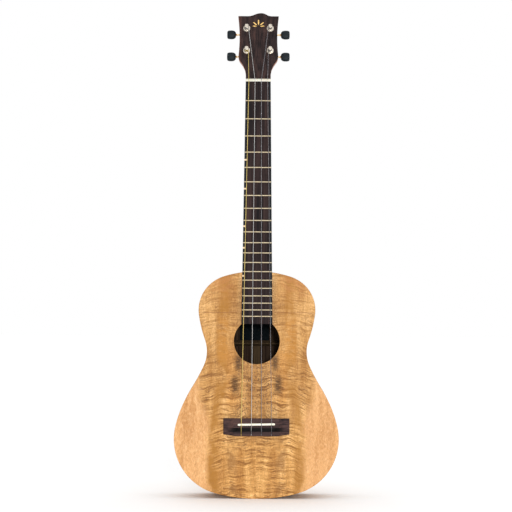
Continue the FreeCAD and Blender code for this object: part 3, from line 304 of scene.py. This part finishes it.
def top_wood():
    """The bookmatched soundboard: curly in the middle, plainer and pinker outside, with brown marks.

    Lengths are in millimetres. half is the distance from the seam, and most heights are measured from
    the middle of the soundhole.
    """
    g = Graph("curly_tan_soundboard")

    def below(first, last, start=0.0, end=1.0):
        """A smooth step from start to end, between two heights under the soundhole's middle."""
        return g.step(g.z, SOUNDHOLE_Z - first, SOUNDHOLE_Z - last, start, end)

    def level(height, half_height, softness):
        """1 near a height over the soundhole's middle, and 0 away from it."""
        return g.band(g.z, SOUNDHOLE_Z + height, half_height, softness)

    half = g.math("ABSOLUTE", g.x)
    wander = g.noise(g.point(0.0, 0.0, g.math("MULTIPLY", g.z, 0.016)), 1.0, 3.0)
    shifted = g.math("ADD", half, g.times(g.math("SUBTRACT", wander, 0.5), 14.0))
    fingers = g.grain(half, 3.0, g.z, 0.020, 0.075)
    lower = below(11.0, 71.0)
    boundary = below(61.0, 151.0, 84.0, 70.0)
    ragged_edge = g.times(g.math("SUBTRACT", fingers, 0.5), 26.0)
    past = g.math("ADD", g.math("SUBTRACT", shifted, boundary), ragged_edge)
    outside = g.times(g.step(past, -9.0, 9.0), below(21.0, 71.0))
    strength = g.math("ADD", 0.50, g.times(lower, 0.50))
    figured = g.math("MULTIPLY", g.math("SUBTRACT", 1.0, outside), strength)
    # the two leaves are cut a little apart, so that the halves aren't quite mirror images
    leaf = g.step(g.x, -0.02, 0.02, 3.7, 4.0)
    colour, slope = tan_wood(g, half, g.z, leaf, figured)

    # a little less red all over, and lighter and yellower low down
    colour = g.mix(1.0, colour, (0.96, 1.00, 1.05), "MULTIPLY")
    colour = g.mix(below(91.0, 151.0), colour, (1.11, 1.11, 1.06), "MULTIPLY")

    # salmon outside the curl, with short light and dark flecks that follow the waving grain
    weave = g.grain(half, leaf, g.z, 0.10, 0.060, 2.0)
    flow = g.math("ADD", half, g.times(g.math("SUBTRACT", weave, 0.5), 14.0))
    fleck = g.grain(flow, leaf, g.z, 0.75, 0.20, 4.0, 0.70)
    salmon = g.ramp(fleck, (0.34, (0.600, 0.275, 0.095)), (0.50, (0.740, 0.375, 0.145)),
                    (0.66, (0.880, 0.510, 0.235)))
    ribbon = g.grain(flow, leaf, g.z, 0.14, 0.012, 3.0, 0.6)
    shade = g.ramp(ribbon, (0.34, (0.84, 0.78, 0.68)), (0.48, WHITE), (0.66, (1.08, 1.12, 1.18)))
    salmon = g.mix(1.0, salmon, shade, "MULTIPLY")
    colour = g.mix(g.times(outside, 0.85), colour, g.mix(1.0, salmon, (0.95, 0.97, 0.99), "MULTIPLY"))

    # soft brown bands beside the curl, nearer the seam higher up
    low_part = below(61.0, 111.0)
    band_x = g.math("ADD", 50.0, g.times(low_part, 14.0))
    patches = g.grain(half, 8.0, g.z, 0.05, 0.030, 2.0)
    side_share = g.step(g.x, 5.0, -5.0, 0.70, 0.92)
    band = g.times(g.band(shifted, band_x, 3.0, 10.0), g.step(patches, 0.34, 0.58), side_share)
    colour = g.mix(band, colour, (0.385, 0.162, 0.019))

    # dusky vertical smudges low in the curl
    smudge_x = g.band(shifted, 36.0, 3.0, 8.0)
    clouds = g.grain(half, 15.0, g.z, 0.06, 0.045, 3.0, 0.6)
    smudge = g.times(smudge_x, g.step(clouds, 0.42, 0.60), below(121.0, 151.0))
    colour = g.mix(g.times(smudge, 0.62), colour, (0.240, 0.098, 0.020))

    # dark brown smears that flank the seam under the soundhole, feathered along the curl
    feather = g.grain(half, 2.0, g.z, 0.12, 0.80, 4.0, 0.65)
    upper_smear = g.times(level(-32.0, 4.0, 15.0), g.band(shifted, 27.0, 0.5, 8.0))
    lower_smear = g.times(level(-64.0, 5.0, 15.0), g.band(shifted, 31.0, 1.0, 9.0))
    smear = g.times(g.math("ADD", upper_smear, lower_smear, clamp=True), g.step(feather, 0.30, 0.52))
    colour = g.mix(g.times(smear, 0.92), colour, (0.085, 0.036, 0.004))

    # amber wood round the smears
    flank = g.times(g.band(half, 32.0, 8.0, 10.0), level(-55.0, 32.0, 16.0))
    colour = g.mix(flank, colour, (0.98, 0.90, 0.74), "MULTIPLY")

    # browner wood with fine dark flecks between the smears
    zone = g.times(g.step(half, 26.0, 40.0, 1.0, 0.0), level(-66.0, 34.0, 26.0))
    colour = g.mix(g.times(zone, 0.80), colour, (0.800, 0.770, 0.720), "MULTIPLY")
    flecks = g.grain(g.x, 5.0, g.z, 0.46, 0.30, 3.0, 0.75, 0.4)
    colour = g.mix(g.times(g.step(flecks, 0.545, 0.62), zone, 0.90), colour, (0.075, 0.040, 0.022))

    # painted shade beside the end of the fretboard, in fine dark dots
    dots = g.noise(g.place, 0.55, 3.0, 0.7)
    board_end_shade = g.times(g.step(half, 34.0, 24.0), level(55.0, 28.0, 22.0), g.step(dots, 0.40, 0.60))
    colour = g.mix(g.times(board_end_shade, 0.65), colour, (0.190, 0.082, 0.024))

    # amber patches halfway out beside the soundhole, crossed by light lines
    contour = g.grain(half, leaf, g.z, 0.030, 0.16)
    ragged = g.grain(half, leaf, g.z, 0.08, 0.14)
    patch = g.times(g.band(half, 50.0, 4.0, 8.0), level(2.0, 24.0, 16.0), g.step(ragged, 0.36, 0.54))
    colour = g.mix(g.times(patch, 0.75), colour, (0.500, 0.215, 0.034))
    light_line = g.times(patch, g.band(contour, 0.55, 0.003, 0.020), 0.35)
    colour = g.mix(light_line, colour, (0.740, 0.430, 0.160))

    # redder shoulders along the top edge
    top_edge = g.step(g.z, BODY_TOP_Z - 52.0, BODY_TOP_Z - 14.0)
    blush = g.times(g.step(half, 26.0, 46.0), top_edge, g.step(ragged, 0.38, 0.58))
    colour = g.mix(g.times(blush, 0.55), colour, (0.480, 0.195, 0.055))

    # thin dark lines right across the board
    wave = g.noise(g.point(g.math("MULTIPLY", half, 0.03), 1.0, 0.0), 1.0, 3.0)
    breaks = g.noise(g.point(g.math("MULTIPLY", half, 0.09), 9.0, 0.0), 1.0, 2.0)
    for below_top, share in ((63.0, 0.60), (82.0, 0.35), (157.0, 0.35)):
        waving = g.math("ADD", BODY_TOP_Z - below_top, g.times(wave, 7.0))
        line_z = g.math("ADD", waving, g.times(half, -0.02))
        thin = g.times(g.band(g.z, line_z, 0.2, 0.8), g.step(breaks, 0.38, 0.52))
        colour = g.mix(g.times(thin, share), colour, (0.250, 0.095, 0.028))

    open_pores = pores(g, half, g.z, 0.4)
    colour = g.mix(g.times(open_pores, 0.40), colour, TAN_PORE)
    colour = painted_edge_shade(g, colour)
    tan_relief(g, open_pores, slope)
    return g.finish(colour, g.step(slope, -0.8, 0.8, 0.52, 0.42), Specular_IOR_Level=0.20)


def painted_edge_shade(g, colour):
    """Painted shade: deepen the colour where a flat plate rounds over into its edge and turns away from the
    front.
    """
    normal = g.tree.nodes.new("ShaderNodeTexCoord").outputs["Normal"]
    facing = g.math("ABSOLUTE", g.split(normal)[1])
    return g.mix(g.step(facing, 0.30, 0.97, 0.75, 0.0), colour, (0.560, 0.235, 0.060))


def back_wood():
    """The bookmatched back: the same wood with plainer edges, and its bare inside painted very dark brown for
    the shade inside the body.
    """
    g = Graph("curly_tan_back")
    half = g.math("ABSOLUTE", g.x)
    outside = g.step(half, 62.0, 90.0)
    figured = g.math("SUBTRACT", 0.85, g.times(outside, 0.45))
    colour, slope = tan_wood(g, half, g.z, 31.0, figured)
    colour = g.mix(g.times(outside, 0.45), colour, (0.740, 0.410, 0.190))
    seam = g.band(half, 0.0, 0.05, 0.25)
    colour = g.mix(g.times(seam, 0.60), colour, (0.200, 0.090, 0.035))
    open_pores = pores(g, half, g.z, 12.4)
    colour = g.mix(g.times(open_pores, 0.40), colour, TAN_PORE)
    colour = painted_edge_shade(g, colour)
    # painted shade: the inside face of the back is coloured very dark brown
    inside = g.step(g.y, BACK_INSIDE_Y + 0.2, BACK_INSIDE_Y + 0.1)
    painted_inside_shade = g.ramp(g.grain(g.x, 0.0, g.z, 0.35, 0.01),
                  (0.38, (0.024, 0.013, 0.008)), (0.60, (0.056, 0.034, 0.021)))
    colour = g.mix(inside, colour, painted_inside_shade)
    tan_relief(g, open_pores, slope)
    rough = g.math("MAXIMUM", g.step(slope, -0.8, 0.8, 0.50, 0.40), inside)
    return g.finish(colour, rough, Specular_IOR_Level=0.20)


def side_wood():
    """Bent sides: the grain follows the bend, so its length is an angle round the body's middle."""
    g = Graph("curly_tan_sides")
    middle_z = (BODY_TOP_Z + BODY_BOTTOM_Z) / 2
    angle = g.math("ARCTAN2", g.x, g.math("SUBTRACT", g.z, middle_z))
    mean_radius = 150.0
    along = g.math("MULTIPLY", angle, mean_radius)
    colour, slope = tan_wood(g, g.y, along, 17.0, 0.75)
    open_pores = pores(g, g.y, along, 6.0)
    colour = g.mix(g.times(open_pores, 0.38), colour, TAN_PORE)
    tan_relief(g, open_pores, slope)
    return g.finish(colour, g.step(slope, -0.8, 0.8, 0.48, 0.38), Specular_IOR_Level=0.40)


def shaded_inner_wood():
    """Bare wood inside the body, painted very dark brown for the shade in there, which only the light through
    the soundhole reaches.
    """
    g = Graph("painted_shade_inner_wood")
    lines = g.drawn_out(0.45, 0.45, 0.02)
    fuzz = g.noise(g.place, 1.4, 4.0, 0.7)
    colour = g.ramp(lines, (0.36, (0.055, 0.037, 0.020)), (0.62, (0.105, 0.068, 0.036)))
    colour = g.mix(0.35, colour, g.ramp(fuzz, (0.3, (0.70, 0.66, 0.60)), (0.7, WHITE)), "MULTIPLY")
    g.bump(fuzz, 0.0001, 0.5)
    return g.finish(colour, 0.95, Specular_IOR_Level=0.05)


def near_black_sheet():
    """Near-black sheet with a faint blue-green tone, fine fibres and light dust, where the inside of the body
    shows darkest under the end of the fretboard.
    """
    g = Graph("near_black_sheet")
    fibres = g.grain(g.x, g.y, g.z, 0.6, 3.0, 3.0, 0.6)
    dust = g.noise(g.place, 0.25, 3.0, 0.6)
    colour = g.ramp(fibres, (0.35, (0.002, 0.004, 0.005)), (0.65, (0.006, 0.010, 0.012)))
    colour = g.mix(g.step(dust, 0.45, 0.75, 0.0, 0.5), colour, (0.014, 0.018, 0.020))
    g.bump(fibres, 0.00003, 0.5)
    return g.finish(colour, 0.90, Specular_IOR_Level=0.05)


def neck_wood():
    """Reddish neck wood with long pores under a satin lacquer."""
    g = Graph("reddish_neck_wood")
    broad = g.drawn_out(0.10, 0.10, 0.008)
    ribbon = g.drawn_out(0.55, 0.55, 0.016)
    dashes = g.drawn_out(2.4, 2.4, 0.16)
    open_pores = g.step(dashes, 0.58, 0.68)
    colour = g.ramp(broad, (0.32, (0.330, 0.105, 0.048)), (0.52, (0.435, 0.150, 0.072)),
                    (0.70, (0.530, 0.205, 0.105)))
    shade = g.ramp(ribbon, (0.32, (0.78, 0.74, 0.70)), (0.62, (1.06, 1.05, 1.05)))
    colour = g.mix(0.7, colour, shade, "MULTIPLY")
    colour = g.mix(g.times(open_pores, 0.60), colour, (0.120, 0.036, 0.018))
    g.bump(g.times(open_pores, -1.0), 0.00005, 0.6)
    return g.finish(colour, g.step(ribbon, 0.3, 0.7, 0.46, 0.38), Specular_IOR_Level=0.45)


def dark_wood(name, across, along, light, red_edge=False, channel_shade_and_grime=False):
    """Dark oily wood with black and reddish streaks. along is the axis of the grain, across its width."""
    g = Graph(name)
    axes = {"x": g.x, "z": g.z}
    over, with_grain = axes[across], axes[along]
    length = g.math("MULTIPLY", with_grain, 0.010)
    depth = g.math("MULTIPLY", g.y, 0.30)
    wide = g.noise(g.point(g.math("MULTIPLY", over, 0.16), depth, length), 1.0, 2.0)
    narrow = g.noise(g.point(g.math("MULTIPLY", over, 0.75), depth, length), 1.0, 4.0, 0.6)
    dashes = g.grain(over, g.y, with_grain, 3.0, 0.20, 2.0)
    open_pores = g.step(dashes, 0.57, 0.66)
    shades = [tuple(channel * light for channel in shade) for shade in (
        (0.008, 0.006, 0.007), (0.024, 0.014, 0.014), (0.052, 0.028, 0.025), (0.085, 0.042, 0.034))]
    blend = g.math("ADD", g.times(wide, 0.5), g.times(narrow, 0.5))
    colour = g.ramp(blend, (0.34, shades[0]), (0.46, shades[1]), (0.58, shades[2]), (0.70, shades[3]))
    if red_edge:
        # redder towards the bass edge of the head
        colour = g.mix(g.times(g.step(g.x, -24.5, -28.5), 0.40), colour, (0.130, 0.046, 0.030))
    if channel_shade_and_grime:
        # painted shade with some grime: near-black in the sunk channel between the saddle and the tie block
        half = g.math("ABSOLUTE", g.x)
        channel_below_saddle = 7.9
        channel_z = g.band(g.z, SADDLE_Z - channel_below_saddle, 2.6, 0.8)
        sunk = g.step(g.y, BRIDGE_FACE_Y + 0.1, BRIDGE_FACE_Y + 0.6)
        hollow = g.times(channel_z, g.step(half, 46.0, 30.0), sunk)
        colour = g.mix(g.times(hollow, 0.92), colour, (0.003, 0.003, 0.003))
    colour = g.mix(g.times(open_pores, 0.55), colour, (0.006, 0.004, 0.004))
    g.bump(g.times(open_pores, -1.0), 0.00006, 0.7)
    return g.finish(colour, g.step(narrow, 0.3, 0.7, 0.66, 0.56), Specular_IOR_Level=0.12)


# ---------------------------------------------------------------- other materials
def worn_metal(name, colour, roughness, brushing=(1.0, 1.0, 1.0)):
    """Metal with faint handling marks. A brushing under 1 draws the fine marks out along that axis."""
    g = Graph(name)
    stretched = g.point(*[g.math("MULTIPLY", axis, share) for axis, share in zip((g.x, g.y, g.z), brushing)])
    smudges = g.noise(g.place, 0.45, 3.0, 0.6)
    marks = g.noise(stretched, 5.0, 3.0, 0.7)
    dull = tuple(channel * 0.78 for channel in colour)
    tint = g.mix(g.step(smudges, 0.42, 0.68, 0.0, 0.6), colour, dull)
    rough = g.math("ADD", roughness, g.times(g.step(marks, 0.35, 0.75), 0.14))
    g.bump(marks, 0.000005, 0.5)
    return g.finish(tint, rough, Metallic=1.0)


def bone(name, light):
    """Polished bone with faint long veins."""
    g = Graph(name)
    veins = g.drawn_out(0.12, 0.9, 0.9)
    specks = g.noise(g.place, 2.4, 2.0)
    shades = [tuple(min(1.0, channel * light) for channel in shade) for shade in (
        (0.780, 0.700, 0.530), (0.900, 0.860, 0.740))]
    colour = g.ramp(veins, (0.35, shades[0]), (0.62, shades[1]))
    colour = g.mix(g.times(g.step(specks, 0.62, 0.72), 0.35), colour, (0.560, 0.450, 0.300))
    g.bump(veins, 0.00002, 0.5)
    return g.finish(colour, 0.32, Subsurface_Weight=0.08)


def cream_marker():
    """Pearly cream inlay bars."""
    g = Graph("cream_marker")
    swirl = g.noise(g.place, 0.8, 4.0, 0.6, 1.5)
    colour = g.ramp(swirl, (0.35, (0.560, 0.370, 0.180)), (0.62, (0.780, 0.580, 0.350)))
    g.bump(swirl, 0.00002, 0.4)
    return g.finish(colour, 0.34)


def black_plastic(name, colour, roughness, grain):
    """Moulded dark plastic with a fine surface grain and rubbed, duller patches."""
    g = Graph(name)
    rub = g.noise(g.place, 0.30, 3.0, 0.6)
    fine = g.noise(g.place, 6.0, 2.0, 0.5)
    pale = tuple(channel * 1.8 + 0.003 for channel in colour)
    tint = g.mix(g.step(rub, 0.45, 0.72, 0.0, 0.55), colour, pale)
    g.bump(fine, grain, 0.6)
    return g.finish(tint, g.math("ADD", roughness, g.times(rub, 0.16)), Specular_IOR_Level=0.14)


def wound_string(name, colour, pitch):
    """Metal winding: close turns of fine wire round a core, with the pitch in millimetres."""
    g = Graph(name)
    turns = g.math("SINE", g.math("MULTIPLY", g.z, 2 * math.pi / pitch))
    ridge = g.math("MULTIPLY_ADD", turns, 0.5, 0.5)
    tarnish = g.grain(g.x, 0.0, g.z, 0.2, 0.05)
    dark = tuple(channel * 0.45 for channel in colour)
    # painted shade darkens the grooves between the turns; the tarnish below darkens patches
    tint = g.mix(g.times(g.math("SUBTRACT", 1.0, ridge), 0.3), colour, dark)
    tint = g.mix(g.step(tarnish, 0.45, 0.70, 0.0, 0.30), tint, dark)
    g.bump(ridge, 0.00003, 0.5)
    return g.finish(tint, 0.45, Metallic=0.85)


def nylon():
    """Clear, slightly smoky nylon."""
    g = Graph("clear_nylon")
    haze = g.grain(g.x, 0.0, g.z, 0.4, 0.03, 2.0)
    colour = g.ramp(haze, (0.35, (0.260, 0.250, 0.270)), (0.65, (0.380, 0.365, 0.385)))
    g.bump(haze, 0.00002, 0.3)
    return g.finish(colour, 0.25, Transmission_Weight=0.55, IOR=1.53)


# ---------------------------------------------------------------- pieces
def paint(material, *names):
    """Give one material to some CAD nodes."""
    for name in names:
        mesh = NODES[name].data
        mesh.materials.clear()
        mesh.materials.append(material)


def soften(radius, *names):
    """Weld the seams of CAD nodes and, with a radius, break their sharp corners with a small bevel."""
    for name in names:
        piece = NODES[name]
        weld = piece.modifiers.new("weld", "WELD")
        weld.merge_threshold = WELD_DISTANCE * MM
        if radius > 0:
            bevel = piece.modifiers.new("bevel", "BEVEL")
            bevel.width = radius
            bevel.segments = 2
            bevel.limit_method = "ANGLE"
            bevel.angle_limit = math.radians(CORNER_ANGLE)
            bevel.harden_normals = True


def add_piece(name, mesh, material, body, slot, *stands_for):
    """Put a new mesh in the scene, riding on a body."""
    piece = bpy.data.objects.new(name, mesh)
    bpy.context.scene.collection.objects.link(piece)
    mesh.materials.append(material)
    for polygon in mesh.polygons:
        polygon.use_smooth = True
    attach(piece, body)
    if stands_for:
        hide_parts(*stands_for)
    return piece


def lofted_mesh(name, rings):
    """A closed solid through rings that have the same number of points each."""
    mesh = bmesh.new()
    rows = [[mesh.verts.new(point) for point in ring] for ring in rings]
    sides = len(rows[0])
    for first, second in zip(rows, rows[1:]):
        for step in range(sides):
            after = (step + 1) % sides
            mesh.faces.new((first[step], first[after], second[after], second[step]))
    mesh.faces.new(list(reversed(rows[0])))
    mesh.faces.new(rows[-1])
    bmesh.ops.recalc_face_normals(mesh, faces=mesh.faces)
    made = bpy.data.meshes.new(name)
    mesh.to_mesh(made)
    mesh.free()
    return made


def tube_mesh(name, points, radius, sides=12):
    """A closed tube along a smooth run of points."""
    rings = []
    normal = None
    for index, point in enumerate(points):
        ahead = points[min(index + 1, len(points) - 1)] - points[max(index - 1, 0)]
        ahead.normalize()
        if normal is None:
            normal = ahead.orthogonal().normalized()
        normal = (normal - ahead * normal.dot(ahead)).normalized()
        other = ahead.cross(normal)
        ring = []
        for step in range(sides):
            angle = 2 * math.pi * step / sides
            ring.append(point + (normal * math.cos(angle) + other * math.sin(angle)) * radius)
        rings.append(ring)
    return lofted_mesh(name, rings)


def joint_of(name):
    """Axis and a point of one joint, in the frame."""
    for joint in frame["joints"]:
        if joint["name"] == name:
            return Vector(joint["axis"]).normalized(), Vector(joint["pos_m"])
    raise ValueError("no joint " + name)


def string_wrap(name, material, slot):
    """Turns of string wound as a helix round the post's waist, with the end turned into the post's hole."""
    axis, centre = joint_of("post_turn_" + name)
    low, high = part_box("string_wrap_" + name)
    middle = (low + high) / 2
    height = (middle - centre).dot(axis)
    span = high.x - low.x
    radius = STRING_DIAMETERS[name] * MM / 2
    ring = span / 2 - radius
    across = Vector((1, 0, 0))
    other = axis.cross(across)
    pitch = 2 * radius * WRAP_CLOSENESS
    points = []
    for step in range(WRAP_TURNS * WRAP_STEPS + 1):
        angle = 2 * math.pi * step / WRAP_STEPS
        rise = height - pitch * WRAP_TURNS / 2 + pitch * step / WRAP_STEPS
        points.append(centre + axis * rise + (across * math.cos(angle) + other * math.sin(angle)) * ring)
    last = points[-1]
    outward = (last - centre - axis * (last - centre).dot(axis)).normalized()
    for share in WRAP_TAIL:
        inwards = outward * ring * share * WRAP_TAIL_DEPTH
        points.append(last - inwards + axis * pitch * share * WRAP_TAIL_RISE)
    mesh = tube_mesh("wound_" + name, points, radius)
    add_piece("string_turns_" + name, mesh, material, "post_" + name, slot, "string_wrap_" + name)


def key_button(name, material):
    """A smooth key head: a squarish rounded plate that narrows to the shaft."""
    low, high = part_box("tuner_button_" + name)
    axis, centre = joint_of("key_turn_" + name)
    side = 1 if low.x > 0 else -1
    inner = low.x if side > 0 else -high.x
    outer = high.x if side > 0 else -low.x
    post_axis = joint_of("post_turn_" + name)[0]
    up = axis.cross(post_axis).normalized()
    if up.z < 0:
        up = -up
    half_width = BUTTON_HALF_WIDTH * MM
    half_thickness = BUTTON_HALF_THICKNESS * MM
    # stations from shaft to outer face: place along the key, share of width, share of thickness
    stations = (
        (0.00, 0.46, 0.52), (0.03, 0.60, 0.68), (0.11, 0.80, 0.86), (0.24, 0.94, 0.97), (0.42, 1.00, 1.00),
        (0.62, 1.00, 1.00), (0.80, 0.97, 0.97), (0.93, 0.87, 0.86), (1.00, 0.68, 0.62))
    rings = []
    for along, width, thickness in stations:
        middle = Vector((side * (inner + (outer - inner) * along), centre.y, centre.z))
        ring = []
        for step in range(BUTTON_SIDES):
            angle = 2 * math.pi * step / BUTTON_SIDES
            cos, sin = math.cos(angle), math.sin(angle)
            wide = math.copysign(abs(cos) ** BUTTON_WIDTH_POWER, cos) * half_width * width
            deep = math.copysign(abs(sin) ** BUTTON_THICKNESS_POWER, sin) * half_thickness * thickness
            ring.append(middle + up * wide + post_axis * deep)
        rings.append(ring)
    made = lofted_mesh("key_head_" + name, rings)
    piece = add_piece("key_head_" + name, made, material, "key_" + name, "black_button",
                      "tuner_button_" + name)
    smooth = piece.modifiers.new("smooth", "SUBSURF")
    smooth.levels = 2
    smooth.render_levels = 2


# ---------------------------------------------------------------- the whole instrument
def dress_body():
    paint(top_wood(), "soundboard")
    paint(back_wood(), "back")
    paint(side_wood(), "side_bass", "side_treble")
    # painted shade: the wood inside the body is coloured very dark for the shade in there
    paint(shaded_inner_wood(), "neck_block", "tail_block", "soundboard_linings", "back_linings", "bridge_plate",
          "transverse_braces", "fan_braces", "soundhole_ring", "back_braces", "back_center_strip")
    paint(near_black_sheet(), "soundhole_label")


def dress_neck():
    paint(neck_wood(), "neck")
    paint(dark_wood("dark_head_veneer", "x", "z", 0.86, red_edge=True), "headstock_veneer")
    paint(dark_wood("dark_fretboard", "x", "z", 0.76), "fretboard")
    paint(dark_wood("dark_bridge", "z", "x", 1.55, channel_shade_and_grime=True), "bridge")
    paint(dark_wood("dark_heel_cap", "x", "z", 0.9), "heel_cap")
    paint(black_plastic("black_binding", (0.006, 0.008, 0.011), 0.50, 0.00001), "fretboard_binding")
    # painted light and shade: the nut and the saddle are the same bone, coloured darker on the nut and
    # lighter on the saddle for the light that each gets
    paint(bone("nut_bone_painted_shade", 0.80), "nut")
    paint(bone("saddle_bone_painted_light", 1.12), "saddle")
    paint(cream_marker(), "fret_markers")
    paint(worn_metal("fret_nickel_silver", (0.450, 0.375, 0.255), 0.36, (0.2, 1.0, 1.0)), "frets")
    paint(worn_metal("gilt_inlay", (0.760, 0.500, 0.180), 0.30), "headstock_inlay")


def dress_tuners():
    nickel = worn_metal("polished_nickel", (0.560, 0.505, 0.430), 0.27)
    brass = worn_metal("satin_brass", (0.720, 0.540, 0.300), 0.32)
    plastic = black_plastic("blue_black_plastic", (0.009, 0.014, 0.017), 0.42, 0.00001)
    gold = wound_string("gold_winding", (0.680, 0.530, 0.180), 0.22)
    silver = wound_string("silver_winding", (0.560, 0.555, 0.550), 0.20)
    clear = nylon()
    paint(nickel, "tuner_bushings", "tuner_plate_screws")
    strings = {"d": (gold, "gold_wound_string"), "g": (silver, "silver_wound_string"),
               "b": (clear, "nylon_string"), "e": (clear, "nylon_string")}
    for name in STRING_NAMES:
        material, slot = strings[name]
        paint(material, "string_" + name)
        paint(nickel, "tuner_plate_" + name, "tuner_post_" + name, "gear_screw_" + name)
        paint(brass, "tuner_gear_" + name, "worm_shaft_" + name)
        string_wrap(name, material, slot)
        key_button(name, plastic)


def soften_all():
    """Bevels with their radius in metres. The nodes with a radius of 0 are only welded."""
    soften(0.0006, "neck", "heel_cap")
    soften(0.0004, "headstock_veneer", "bridge", "fretboard_binding", "nut")
    soften(0.0, "soundboard", "back", "side_bass", "side_treble", "fretboard")


def studio():
    """Pale floor, pale surroundings and soft light from the front and above."""
    mesh = bpy.data.meshes.new("floor")
    corners = ((-1, -1), (1, -1), (1, 1), (-1, 1))
    mesh.from_pydata([(x * FLOOR_REACH, y * FLOOR_REACH, CAD_LOW.z) for x, y in corners], [], [(0, 1, 2, 3)])
    floor = bpy.data.objects.new("floor", mesh)
    bpy.context.scene.collection.objects.link(floor)
    g = Graph("pale_floor")
    mottle = g.noise(g.place, 0.004, 3.0)
    mesh.materials.append(g.finish(g.ramp(mottle, (0.3, (0.90, 0.90, 0.90)), (0.7, (0.93, 0.93, 0.93))), 0.9))

    world = bpy.data.worlds.new("studio")
    bpy.context.scene.world = world
    world.use_nodes = True
    tree = world.node_tree
    seen = tree.nodes["Background"]
    seen.inputs[0].default_value = (*WHITE, 1.0)
    seen.inputs[1].default_value = 1.0
    lighting = tree.nodes.new("ShaderNodeBackground")
    lighting.inputs[0].default_value = (*WHITE, 1.0)
    lighting.inputs[1].default_value = AMBIENT
    choice = tree.nodes.new("ShaderNodeMixShader")
    tree.links.new(tree.nodes.new("ShaderNodeLightPath").outputs["Is Camera Ray"], choice.inputs[0])
    tree.links.new(lighting.outputs[0], choice.inputs[1])
    tree.links.new(seen.outputs[0], choice.inputs[2])
    tree.links.new(choice.outputs[0], tree.nodes["World Output"].inputs[0])

    slope = math.radians(KEY_ELEVATION)
    towards_key = Vector((KEY_SIDEWAYS, -math.cos(slope), math.sin(slope)))
    overhead = Vector((0, 0.05, 1))
    for name, source, strength, spread in (("key", towards_key, KEY_STRENGTH, KEY_SPREAD),
                                           ("overhead", overhead, TOP_STRENGTH, TOP_SPREAD)):
        light = bpy.data.lights.new(name, "SUN")
        light.energy = strength
        light.angle = math.radians(spread)
        lamp = bpy.data.objects.new(name, light)
        lamp.rotation_mode = "QUATERNION"
        lamp.rotation_quaternion = source.to_track_quat("Z", "Y")
        bpy.context.scene.collection.objects.link(lamp)


def camera():
    """A long lens level with the middle of the instrument, looking straight at its face."""
    lens = bpy.data.cameras.new("camera")
    lens.sensor_width = SENSOR_WIDTH
    lens.lens = SENSOR_WIDTH * CAMERA_DISTANCE / VIEW_WIDTH
    lens.clip_end = FAR_CLIP
    eye = bpy.data.objects.new("camera", lens)
    fretboard_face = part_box("fretboard")[0].y
    eye.location = (VIEW_CENTRE_X, fretboard_face - CAMERA_DISTANCE, NUT_LOW.z - VIEW_CENTRE_BELOW_NUT)
    eye.rotation_euler = (math.radians(90), math.radians(CAMERA_ROLL), 0)
    bpy.context.scene.collection.objects.link(eye)
    bpy.context.scene.camera = eye
    bpy.context.scene.view_settings.view_transform = "Standard"


camera()
dress_body()
dress_neck()
dress_tuners()
soften_all()
studio()
